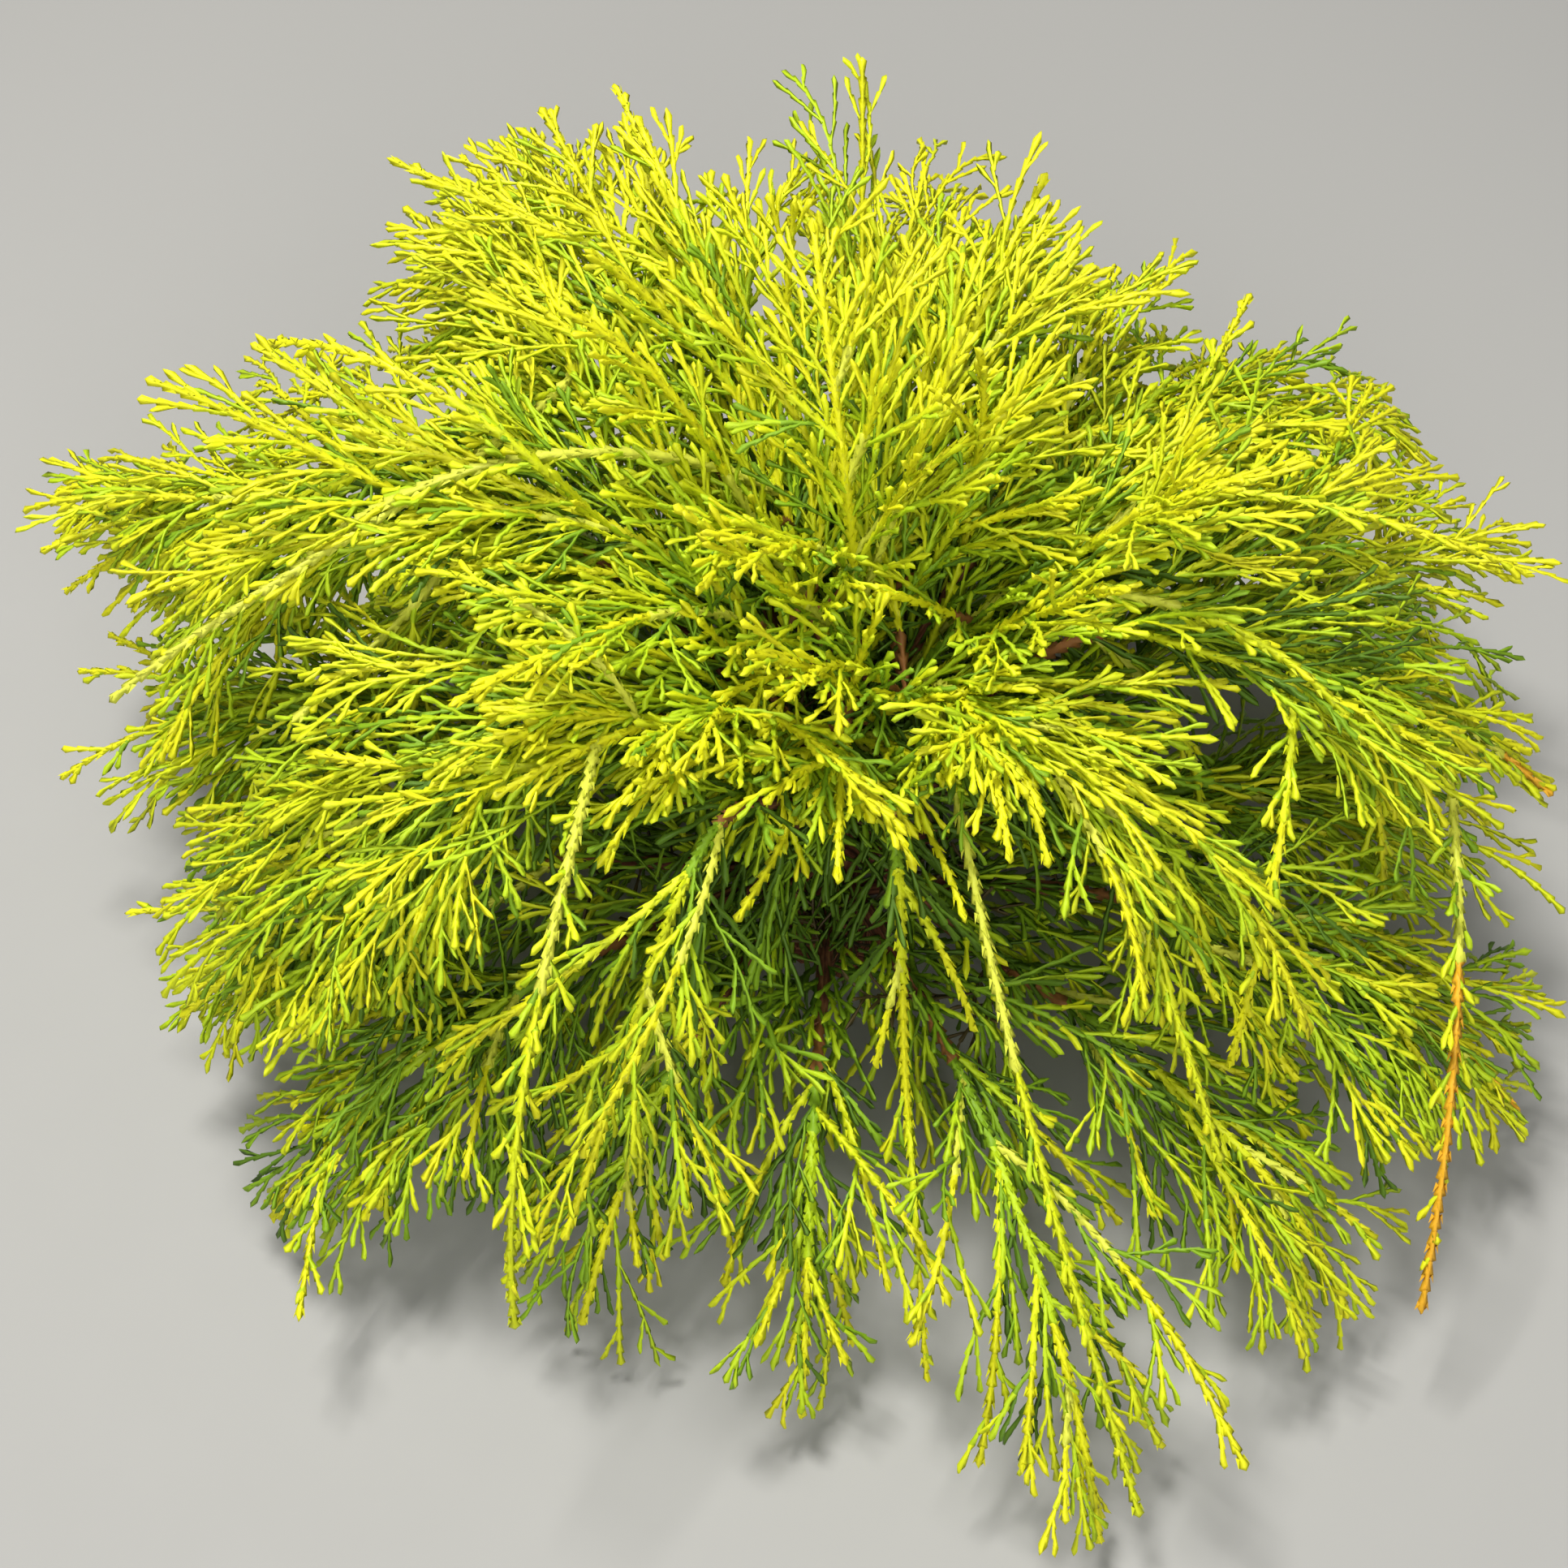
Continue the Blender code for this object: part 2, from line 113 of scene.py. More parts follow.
SIDE_RADII = (0.0013, 0.0011)
SIDE_STRETCHES = (0.45, 1)
SIDE_SPAN = (0.05, 0.72)
SIDE_JITTER = (0.1, 0.9)
SIDE_ANGLES = (16, 44)
SIDE_LIFTS = ((-12, 36), (-45, -8))
SIDE_LENGTHS = (0.46, 0.92)
SIDE_DROOP = 1.1
SIDE_WAVE = 8
SIDE_FOLLOW = 5
SIDE_BARE_SHARE = 0.1
SIDE_SPRAY_SHARE = 0.62

SPRAY_SPACING = 0.0092
SPRAY_SHIFT = 0.012
SPRAY_CROWDING = 1.12
SPRAY_LIFTS = ((-20, 58), (-60, -15))
SPRAY_ANGLE_SPREAD = 0.35
SPRAY_LENGTHS = (0.50, 1.15)
SPRAY_TIP_LENGTH = 0.16
SPRAY_FIRST_PHASE = 0.32
SPRAY_DROOP_SHARE = 0.5
SPRAY_WAVE = 14
SPRAY_FOLLOW = 20
SPRAY_GREEN_SHARE = 0.42
LONG_THREAD_CHANCE = 0.3
LONG_THREAD_SHARE = 1.25
LONG_THREAD_BARENESS = 2.2

TWIG_LIFTS = ((-12, 16), (-16, 6))
TWIG_WAVE = 21
TWIG_FOLLOW = 20
TWIGLET_PARENT = 0.020
TWIGLET_SPACING = 0.0105

# Scale leaves, as shares of a thread's radius and of one step along it
SCALE_WIDE = 1.50
SCALE_NARROW = 0.66
SCALE_SHIFT = 0.40
ROLL_BETWEEN_THREADS = 2.4
CAP_LENGTH = 1.3

# Free leaf tips, in pairs on the leaders. Foot and keel are in radii of the leader.
LEAF_SPACING = 0.0050
LEAF_LENGTH = 0.0027
LEAF_WIDTH = 0.0008
LEAF_LIFT = 0.0009
LEAF_FOOT = 0.7
LEAF_KEEL = 1.25
LEAF_KEEL_BACK = 0.3

# Free shoots: a hub over the trunk's tip, a fringe at the front and a curtain at the back
TURN_BETWEEN_SHOOTS = 137.5
HUB_ROOTS = (0.08, 0.45)
FRINGE_MASSES = [f"foliage_crest_{number:02d}" for number in (4, 5, 6)]
FRINGE_ROOTS = (0.15, 0.75)
FRINGE_AZIMUTHS = (-165, -40)
CURTAIN_MASSES = [f"foliage_shoulder_{number:02d}" for number in (2, 3, 4, 5)]
CURTAIN_MASSES += [f"foliage_crest_{number:02d}" for number in (1, 2, 3)]
CURTAIN_SPAN = (0.35, 0.95)
CURTAIN_SWINGS = (-40, 40)

# The crown is thinner at the front, and has an opening there where few sprays root
FRONT_LOSS = 0.55
FRONT_DROOP = 14
FRONT_SHORTENING = 0.32
OPENING = Vector((0.025, -0.085, 0.145))
OPENING_SIZE = Vector((0.085, 0.060, 0.060))
OPENING_LOSS = 1.6

# Shaded leaders behind the skirt
UNDER_SEED = 29
UNDER_LEADERS = 5
UNDER_SPAN = (0.2, 0.95)
UNDER_ANGLES = (50, 35)
UNDER_LENGTHS = (0.05, 0.12)
UNDER_DROOP = 12
UNDER_BARE_SHARE = 0.1
UNDER_SPRAY_LENGTH = 0.040

# Old, half bare, curly threads inside the crown, dark brown and green: partly the plant's own old
# # foliage, partly painted shade that keeps the inside of the crown dark. Turns are droop, wave and
# # follow.
OLD_SEED = 17
OLD_THREADS_ON_BOUGH = 9
OLD_THREADS_ON_TRUNK = 70
OLD_BOUGH_SPAN = (0.15, 1)
OLD_TRUNK_HEIGHTS = (0.01, 0.13)
OLD_RISES = (-30, 60)
OLD_LENGTHS = (0.014, 0.038)
OLD_RADIUS = 0.0006
OLD_STEP = 0.0040
OLD_TURNS = (14, 45, 0)
OLD_KINDS = ("old", "deep", "deep", "green")
OLD_TWIGS = 5
OLD_TWIG_SPAN = (0.25, 0.95)
OLD_TWIG_ANGLES = (60, 40)
OLD_TWIG_SHARE = 0.4
OLD_TWIG_TURNS = (4, 50, 0)

SHADE_SEED_STEP = 50
ON_BOUGH_SEED = 41
BELOW_BOUGH_SEED = 43
LARGEST_PIECE = 190000

# Bark, in raised strips
TRUNK_RINGS = 84
TRUNK_SIDES = 40
BOUGH_SIDES = 14
STRIP_WIDTH = 0.0016
STRIP_LENGTH = 0.014
BARK_RIDGE_DEPTH = 0.15
BARK_RIDGE_SCALE = 0.6
BARK_GRAIN_DEPTH = 0.07
BARK_GRAIN_SCALE = 1.9

# Camera, lamps and floor. The camera looks down on the crown from the front.
CAMERA_TARGET = Vector((-0.017, 0, 0.091))
CAMERA_DISTANCE = 0.80
CAMERA_RISE = 55
CAMERA_VIEW = 36
LAMP_TARGET = Vector((0, 0, 0.12))
SKY_STRENGTH = 0.18
FLOOR_SIZE = 12
FLOOR_DROP = 0.0002


def linear(red, green, blue):
    """A colour told in display values of 0 to 255, as the shader's linear values."""
    shares = [value / 255 for value in (red, green, blue)]
    return tuple(s / 12.92 if s < 0.04045 else ((s + 0.055) / 1.055) ** 2.4 for s in shares) + (1,)


COLOURS = {
    "gold": linear(219, 218, 14),
    "yellow": linear(208, 217, 14),
    "lime": linear(175, 201, 16),
    "green": linear(125, 162, 18),
    "deep": linear(83, 116, 16),
    "straw": linear(208, 212, 66),
    "amber": linear(228, 170, 34),
    "young_bark": linear(150, 98, 50),
    "old": linear(78, 66, 30),
}

# How golden a spray is, by its place in metres and its share of the way to its leader's tip.
# Partly the plant's own colour, greener inside and golden at the tips, and partly painted light
# and shade: more golden to the top and the back where light falls, greener low and at the front
# where shade falls.
TONES = ("deep", "green", "lime", "yellow", "gold")
TONE_STEPS = (0.12, 0.34, 0.56, 0.84)
TONE_START = 0.17
TONE_UP = 1.3
TONE_RIGHT = 0.15
TONE_BACK = 0.6
TONE_TIPWARD = 0.75
TONE_SPREAD = 0.11
TONE_SLIP = 0.3
MIDDLE_TONE_SHARE = 0.6
SIDE_TONE_SHARE = 0.5
FREE_TONE_SHARE = 0.4
STRAW_CHANCE = 0.35
# Painted light: sprays that end past LIT_FROM of the way out to the crown's shell are dealt a more golden
# tone, by LIT_TONE.
LIT_FROM = 0.62
LIT_TONE = 0.9


class Tier(NamedTuple):
    """One ring of masses, evenly spaced anticlockwise from its first azimuth. Angles are degrees.

    Limbs leave the trunk at three heights in turn. bough_tip is a bough's reach and height there,
    or None where leaders grow straight from the trunk. A leader is bare up to bare_share. A mass
    straight at the front goes without a share of its side leaders, the front_loss.
    """

    name: str
    seed: int
    first_azimuth: float
    trunk_heights: tuple
    rise: float
    bough_tip: tuple
    bough_tip_rise: float
    reaches: tuple
    tip_heights: tuple
    bare_share: float
    spray_length: float
    spray_droop: float
    side_leaders: int
    front_loss: float


TIERS = (
    Tier(
        name="skirt", seed=100, first_azimuth=-22, trunk_heights=(0.024, 0.037, 0.050), rise=38,
        bough_tip=(0.080, 0.072), bough_tip_rise=20,
        reaches=(0.236, 0.206, 0.256, 0.190, 0.172, 0.174, 0.186, 0.198,
                 0.234, 0.210, 0.220, 0.180, 0.190, 0.240, 0.224),
        tip_heights=(0.032, 0.050, 0.080, 0.062, 0.052, 0.050, 0.052, 0.058,
                     0.070, 0.052, 0.032, 0.024, 0.020, 0.014, 0.020),
        bare_share=0.04, spray_length=0.086, spray_droop=11, side_leaders=8, front_loss=0,
    ),
    Tier(
        name="shoulder", seed=200, first_azimuth=2, trunk_heights=(0.064, 0.077, 0.090), rise=56,
        bough_tip=(0.058, 0.158), bough_tip_rise=46,
        reaches=(0.226, 0.208, 0.160, 0.226, 0.280, 0.222, 0.176, 0.132, 0.176),
        tip_heights=(0.108, 0.150, 0.196, 0.196, 0.112, 0.088, 0.076, 0.078, 0.080),
        bare_share=0.04, spray_length=0.090, spray_droop=9, side_leaders=9, front_loss=0.75,
    ),
    Tier(
        name="crest", seed=300, first_azimuth=64, trunk_heights=(0.100, 0.108, 0.116), rise=62,
        bough_tip=None, bough_tip_rise=62,
        reaches=(0.142, 0.150, 0.156, 0.122, 0.086, 0.116, 0.146),
        tip_heights=(0.240, 0.254, 0.226, 0.188, 0.166, 0.180, 0.208),
        bare_share=0.20, spray_length=0.076, spray_droop=4, side_leaders=9, front_loss=0.2,
    ),
)
APEX_AZIMUTH = 98
APEX_REACH = 0.064
APEX_HEIGHT = 0.278


class Shoots(NamedTuple):
    """Free shoots of one kind. Their lower colour ends at base_end, and sprays start at bare_share."""

    seed: int
    count: int
    rises: tuple
    lengths: tuple
    droop: float
    base_end: float
    bare_share: float
    spray_length: float


HUB = Shoots(401, 22, (35, 75), (0.055, 0.095), 9, 0.25, 0.15, 0.036)
FRINGE = Shoots(402, 15, (10, 55), (0.035, 0.070), 17, 0.35, 0.12, 0.034)
CURTAIN = Shoots(403, 5, (-55, -5), (0.080, 0.135), 11, 0.4, 0.1, 0.050)


class Shade(NamedTuple):
    """How coarse green sprays of one kind sit along a leader or a bough, inside the crown. Their
    dark greens, from darkest up, are partly the inner foliage's own colour and partly painted shade.

    Those that would set off more steeply than steepest are left out. Turns: droop, wave, follow.
    """

    count: int
    span: tuple
    angles: tuple
    angle_spread: float
    lifts: tuple
    lengths: tuple
    turns: tuple
    darkest: int
    lighter_chance: float
    steepest: float = 1.1
    spares_opening: bool = False


BELOW_LEADER = Shade(
    count=11, span=(0.04, 0.62), angles=(48, 30), angle_spread=0, darkest=0, lighter_chance=0.5,
    lifts=((-75, -25), (-90, -60)), lengths=(0.026, 0.048),
    turns=(9, SPRAY_WAVE, SIDE_FOLLOW), steepest=0.3)
ON_BOUGH = Shade(
    count=7, span=(0.45, 0.95), angles=(30, 22), angle_spread=0.3, darkest=1, lighter_chance=0.5,
    lifts=((10, 75), (40, 90)), lengths=(0.026, 0.048), turns=(9, SPRAY_WAVE, SPRAY_FOLLOW))
BELOW_BOUGH = Shade(
    count=14, span=(0.25, 1), angles=(75, 60), angle_spread=0.4, darkest=0, lighter_chance=0.6,
    lifts=((-70, 10), (-80, -30)), lengths=(0.035, 0.070), turns=(13, SPRAY_WAVE, 0),
    spares_opening=True)


BLOND = ("straw", "straw")
PALE = ("straw", "yellow")
AMBER = ("straw", "amber")
GOLDEN = ("yellow", "gold")
THICK = (0.00150, 0.00125)
THIN = (0.00115, 0.00095)
LEAFY = 0.045


class Whip(NamedTuple):
    """A long cord that stands out of the crown: where it leaves its leader, and how it runs."""

    mass: str
    share: float
    azimuth: float
    rise: float
    length: float
    droop: float
    kinds: tuple = GOLDEN
    radii: tuple = THIN
    swing: float = 0
    spray_length: float = 0.016


WHIP_SEED = 500
WHIP_WAVE = 2.5
WHIP_STRETCHES = (0.45, 1)
WHIP_BARE_SHARE = 0.2
WHIPS = [Whip(*row) for row in (
    ("shoulder_01", 0.80, -91, 10, 0.200, 6, AMBER, THICK),
    ("crest_07", 0.45, -23, 0, 0.120, 22, PALE, THICK),
    ("crest_02", 0.40, 196, 46, 0.195, 12, BLOND, THICK),
    ("crest_06", 0.40, -82, -13, 0.255, 1, PALE, THICK),
    ("crest_02", 0.75, 117, 20, 0.090, 1),
    ("crest_02", 0.75, 171, 14, 0.110, 1),
    ("crest_03", 0.90, 158, 31, 0.050, 5),
    ("crest_07", 0.85, -13, 7, 0.100, 6),
    ("shoulder_01", 0.85, -26, -26, 0.040, 3, AMBER),
    ("shoulder_02", 0.70, 58, 27, 0.040, 2),
    ("shoulder_05", 0.80, 195, -9, 0.050, 4),
    ("shoulder_08", 0.90, -84, -27, 0.085, 9),
    ("skirt_09", 0.85, 195, -3, 0.060, 8),
    ("skirt_10", 0.75, 179, 3, 0.055, 4),
    ("skirt_11", 0.80, -94, -2, 0.055, 3),
    ("crest_07", 0.45, -24, 35, 0.130, 14, PALE, THICK),
    ("shoulder_01", 0.50, -97, 29, 0.155, 17, GOLDEN, THICK),
    ("shoulder_09", 0.20, -58, -18, 0.130, 4.5, PALE, THICK),
    ("shoulder_01", 0.60, -59, -40, 0.100, 10, GOLDEN, THICK),
    ("skirt_01", 0.70, -26, -23, 0.055, 11, AMBER),
    ("crest_04", 0.80, -94, 16, 0.185, 11, PALE, THICK),
    ("shoulder_04", 0.55, -69, 18, 0.225, 4.5, BLOND, THICK, -17),
    ("crest_03", 0.60, 217, 68, 0.130, 13, GOLDEN, THICK, -20),
    ("crest_04", 0.70, 234, 84, 0.125, 22, PALE, THIN, -23),
    ("shoulder_05", 0.30, -100, -11, 0.090, 3, BLOND, THICK, -15),
    ("crest_04", 0.75, 222, 1, 0.095, 1, GOLDEN, THICK, -24),
    ("skirt_09", 0.75, 165, 8, 0.065, 6),
    ("skirt_09", 0.80, 150, 6, 0.060, 6),
    ("shoulder_05", 0.65, 172, -28, 0.085, 4, PALE),
    ("shoulder_05", 0.75, 178, -35, 0.080, 4),
    ("shoulder_05", 0.40, 190, -35, 0.080, 4, GOLDEN, THIN, 0, LEAFY),
    ("shoulder_05", 0.60, 185, -40, 0.080, 4, GOLDEN, THIN, 0, LEAFY),
    ("shoulder_05", 0.50, 200, -30, 0.085, 4, GOLDEN, THIN, 0, LEAFY),
)]


def direction(azimuth, rise):
    """The unit vector at this azimuth and angle above the level, in degrees."""
    a, e = radians(azimuth), radians(rise)
    return Vector((cos(a) * cos(e), sin(a) * cos(e), sin(e)))


def place(azimuth, reach, height):
    """The point at this azimuth, distance from the origin's vertical and height."""
    a = radians(azimuth)
    return Vector((reach * cos(a), reach * sin(a), height))


class Path(NamedTuple):
    """Points along a curve, and the curve's unit direction at each."""

    points: list
    headings: list

    def at(self, share):
        """The point and the direction at a share of the path's stretches."""
        whole = share * (len(self.points) - 1)
        i = min(int(whole), len(self.points) - 2)
        point = self.points[i].lerp(self.points[i + 1], whole - i)
        return point, self.headings[i].lerp(self.headings[i + 1], whole - i).normalized()

    def length(self):
        return sum((b - a).length for a, b in zip(self.points, self.points[1:]))


def bezier(a, b, c, d, step):
    """The cubic curve with these four handles, with its points about one step apart."""
    count = round(((b - a).length + (c - b).length + (d - c).length) / step)
    points, headings = [], []
    for i in range(count + 1):
        t = i / count
        s = 1 - t
        points.append(a * s**3 + b * (3 * s * s * t) + c * (3 * s * t * t) + d * t**3)
        slope = (b - a) * (s * s) + (c - b) * (2 * s * t) + (d - c) * (t * t)
        headings.append(slope.normalized())
    return Path(points, headings)


def path_through(points):
    """The path through these points, with the direction of the stretch that leaves each."""
    headings = [(b - a).normalized() for a, b in zip(points, points[1:])]
    return Path(points, headings + headings[-1:])


def across(tangent):
    """Two unit vectors square to a direction: one level, to its right, and one above it."""
    right = tangent.cross(UP)
    if right.length < 1e-4:
        right = Vector((1, 0, 0))
    right.normalize()
    return right, right.cross(tangent).normalized()


def trunk_centre(height):
    """The trunk's middle at a height: it leans, and sways a little to one side and back."""
    share = height / TRUNK_HEIGHT
    sway = TRUNK_SWAY * sin(pi * share)
    return TRUNK_LEAN * share**TRUNK_LEAN_POWER + Vector((-sway, sway * TRUNK_SWAY_BACK, height))


class Mass(NamedTuple):
    """One mass of foliage: its leader, and the rule that its sprays follow."""

    name: str
    leader: Path
    seed: int
    bare_share: float
    spray_length: float
    spray_droop: float
    side_leaders: int


def leader_path(root, set_off, tip, azimuth):
    """A leader that sets off along one direction, arches over and hangs at its tip."""
    pull = LEADER_PULL * (tip - root).length
    droop = DROOP_AT_GROUND - DROOP_LOSS * tip.z
    before_tip = tip - direction(azimuth, -droop) * pull
    return bezier(root, root + set_off * pull, before_tip, tip, LEADER_STEP)


def bough_path(tier, azimuth, foot, dice):
    """A bough from the trunk's middle, rising and then levelling off towards its tip."""
    reach, height = tier.bough_tip
    reach *= 1 + dice.uniform(-BOUGH_REACH_SPREAD, BOUGH_REACH_SPREAD)
    height += dice.uniform(-BOUGH_HEIGHT_SPREAD, BOUGH_HEIGHT_SPREAD)
    tip = place(azimuth, reach, height)
    pull = BOUGH_PULL * (tip - foot).length
    away, onward = direction(azimuth, tier.rise), direction(azimuth, tier.bough_tip_rise)
    return bezier(foot, foot + away * pull, tip - onward * pull, tip, LEADER_STEP)


def plan_tier(tier):
    """The boughs, by node name, and the masses of one tier."""
    boughs, masses = {}, []
    dice = random.Random(tier.seed)
    for i, reach in enumerate(tier.reaches):
        name = f"{tier.name}_{i + 1:02d}"
        azimuth = tier.first_azimuth + 360 * i / len(tier.reaches)
        foot_height = tier.trunk_heights[i % 3] + dice.uniform(-BOUGH_FOOT_SPREAD, BOUGH_FOOT_SPREAD)
        swing = azimuth + dice.uniform(-LEADER_SWING, LEADER_SWING)
        root, set_off = trunk_centre(foot_height), direction(azimuth, tier.rise)
        if tier.bough_tip is not None:
            bough = bough_path(tier, azimuth, root, dice)
            boughs["bough_" + name] = bough
            set_off = bough.headings[-1]
            root = bough.points[-1] + set_off * JOINT_GAP
        tip = place(swing, reach, tier.tip_heights[i])
        leader = leader_path(root, set_off, tip, swing)
        side_leaders = round(tier.side_leaders * (1 - tier.front_loss * frontness(tip)))
        masses.append(Mass("foliage_" + name, leader, tier.seed + i, tier.bare_share,
                           tier.spray_length, tier.spray_droop, side_leaders))
    return boughs, masses


def plan_apex():
    """The mass that carries on from the trunk's own tip."""
    tip = place(APEX_AZIMUTH, APEX_REACH, APEX_HEIGHT)
    leader = leader_path(trunk_centre(TRUNK_HEIGHT) + UP * JOINT_GAP, UP, tip, APEX_AZIMUTH)
    return Mass("foliage_apex", leader, seed=400, bare_share=0.16, spray_length=0.060,
                spray_droop=1, side_leaders=8)


class Style(NamedTuple):
    """How finely a spray and its twigs are made. The step is the length of one scale."""

    step: float
    spray_radii: tuple
    twig_radii: tuple
    spray_sides: int
    twig_spacing: float
    twiglets: bool


OUTER = Style(0.0031, (0.00070, 0.00100), (0.00056, 0.00084), 4, 0.0076, True)
INNER = Style(0.0046, (0.00095, 0.00095), (0.00080, 0.00090), 3, 0.0105, False)


class Twigs(NamedTuple):
    """How twigs sit on a spray, or twiglets on a twig. Share and taper are of their own length."""

    stretch: float
    span: tuple
    jitter: tuple
    share: float
    taper: float
    lengths: tuple
    angles: tuple


TWIGS = Twigs(stretch=0.84, span=(0.08, 0.78), jitter=(0.2, 0.8), share=0.80, taper=0.8,
              lengths=(0.6, 1.3), angles=(27, 18))
TWIGLETS = Twigs(stretch=0.8, span=(0.18, 0.90), jitter=(0.25, 0.75), share=0.42, taper=0.5,
                 lengths=(0.75, 1.25), angles=(32, 26))


def grow(root, heading, length, turns, flow, dice, step=OUTER.step):
    """A thread's path. It comes into line with a flow, waves, and bends to the ground, where it
    lands softly. Its turns are its droop, wave and follow. It stops where the crown ends."""
    droop, wave, follow = turns
    count = max(2, round(length / step))
    stride = length / count
    right, above = across(heading)
    roll, phase = dice.uniform(0, 2 * pi), dice.uniform(0, 2 * pi)
    swing = right * cos(roll) + above * sin(roll)
    points, headings = [root], [heading]
    for i in range(count):
        share = i / count
        bend = swing * (wave * cos(phase + WAVE_TURN * share)) + flow * (follow * (1 - share))
        bend -= UP * (2 * droop * (1 + (TIP_DROOP - 1) * share) / (1 + TIP_DROOP))
        heading = (heading + bend * stride).normalized()
        steepest = (GROUND_CLEARANCE - points[-1].z) / LANDING_HEIGHT
        if heading.z < steepest:
            heading = Vector((heading.x, heading.y, steepest)).normalized()
        point = points[-1] + heading * stride
        if i > 1 and outside_reach(point):
            break
        points.append(point)
        headings.append(heading)
    return Path(points, headings)


def share_out(point, middle, reach):
    """How far out a point lies: 0 at the middle, and 1 on a shell with this reach to each side."""
    return sum(((point[k] - middle[k]) / reach[k]) ** 2 for k in range(3))


def outside_reach(point):
    """Whether a point would take the crown past its dome, or past its solids' box."""
    return share_out(point, FOOT, CROWN_REACH) > 1 or not all(
        low_corner[k] - REACH_MARGIN < point[k] < high_corner[k] + REACH_MARGIN for k in range(3))


def share_in(span, number, count):
    """The share of a path at which one of several shoots roots, spread over a span of it."""
    first, last = span
    return first + (last - first) * number / count


def side_heading(path, share, number, angles, lifts, dice, spread=0):
    """Where a side shoot leaves its parent, its direction and its parent's: left and right in turn."""
    root, heading = path.at(share)
    right, above = across(heading)
    side = 1 if number % 2 else -1
    lift = radians(dice.uniform(*lifts[number % 4 == 0]))
    outward = right * (side * cos(lift)) + above * sin(lift)
    angle = radians(angles[0] + (angles[1] - angles[0]) * share)
    angle *= dice.uniform(1 - spread, 1 + spread)
    return root, (heading * cos(angle) + outward * sin(angle)).normalized(), heading


class Thread(NamedTuple):
    """One thread: the points of its middle, its radius at each end, and how many sides it has."""

    points: list
    root_radius: float
    tip_radius: float
    sides: int = 4


def tone_at(root, share, dice, lit=0):
    """How golden a spray is, from 0 to 4: more so to the top, the back, its leader's tip and, by
    lit, on the crown's outer shell. Partly the plant's own colour and partly painted light and
    shade: golden where light falls, greener where shade falls.
    """
    tone = (TONE_START + TONE_UP * root.z + TONE_RIGHT * root.x + TONE_BACK * root.y
            + TONE_TIPWARD * share + lit)
    tone += dice.gauss(0, TONE_SPREAD)
    return sum(tone > step for step in TONE_STEPS)


def kind_of(tone):
    """The colour of a tone, held within the five."""
    return TONES[max(0, min(len(TONES) - 1, tone))]


def base_kind(root, share, dice):
    """The colour of a leader's lower part, which is now and then straw."""
    if dice.random() < STRAW_CHANCE:
        return "straw"
    return kind_of(tone_at(root, share, dice))


def add_spray(plant, tone, spray, style):
    """A spray's own thread: greener at its base than at its tip."""
    first_radius, last_radius = style.spray_radii
    cut_radius = first_radius + (last_radius - first_radius) * SPRAY_GREEN_SHARE
    base, tip = part_of(spray, 0, SPRAY_GREEN_SHARE), part_of(spray, SPRAY_GREEN_SHARE, 1)
    plant[kind_of(tone - 1)].append(Thread(base, first_radius, cut_radius, style.spray_sides))
    plant[kind_of(tone)].append(Thread(tip, cut_radius, last_radius, style.spray_sides))


def twig_spots(rule, length, spacing, dice):
    """The number, the root's share and the length of each twig on a thread of this length."""
    count = int(length * rule.stretch / spacing)
    for k in range(count):
        share = share_in(rule.span, k + dice.uniform(*rule.jitter), count)
        twig_length = length * rule.share * (1 - share) ** rule.taper * dice.uniform(*rule.lengths)
        if twig_length >= SHORTEST_THREAD:
            yield k, share, twig_length


def grow_twigs(plant, tone, spray, length, droop, style, dice, bareness=1):
    """The twigs on both sides of a spray, and the twiglets on the longer ones."""
    turns = (droop, TWIG_WAVE, TWIG_FOLLOW)
    for k, share, twig_length in twig_spots(TWIGS, length, style.twig_spacing * bareness, dice):
        greener = (share < SPRAY_GREEN_SHARE) + (dice.random() < TONE_SLIP)
        kind = kind_of(tone - greener + (dice.random() < TONE_SLIP))
        root, heading, flow = side_heading(spray, share, k, TWIGS.angles, TWIG_LIFTS, dice)
        twig = grow(root, heading, twig_length, turns, flow, dice, style.step)
        plant[kind].append(Thread(twig.points, *style.twig_radii, 3))
        if style.twiglets and twig_length > TWIGLET_PARENT:
            grow_twiglets(plant, kind, twig, twig_length, dice)


def grow_twiglets(plant, kind, twig, length, dice):
    """The shortest threads, on both sides of a twig."""
    turns = (0, TWIG_WAVE, TWIG_FOLLOW)
    for k, share, twiglet_length in twig_spots(TWIGLETS, length, TWIGLET_SPACING, dice):
        root, heading, flow = side_heading(twig, share, k, TWIGLETS.angles, TWIG_LIFTS, dice)
        twiglet = grow(root, heading, twiglet_length, turns, flow, dice)
        plant[kind].append(Thread(twiglet.points, *OUTER.twig_radii, 3))


def spray_length_at(full, share):
    """Sprays are longest a quarter of the way along a leader, and shortest at its whip-like tip."""
    phase = SPRAY_FIRST_PHASE + (1 - SPRAY_FIRST_PHASE) * share
    return full * (SPRAY_TIP_LENGTH + (1 - SPRAY_TIP_LENGTH) * sin(pi * phase))


def frontness(point):
    """How far to the front a point lies: 1 straight at the front, and 0 from the sides backwards."""
    return max(0, -point.y / hypot(point.x, point.y)) ** 2


def fullness_towards(point):
    """How full the crown is on the side that a point lies on: least at the front."""
    return 1 - FRONT_LOSS * frontness(point)


def lost_in_opening(point, dice):
    """Whether a spray is left out because this point of it lies in the opening at the front."""
    return dice.random() < OPENING_LOSS * (1 - share_out(point, OPENING, OPENING_SIZE))


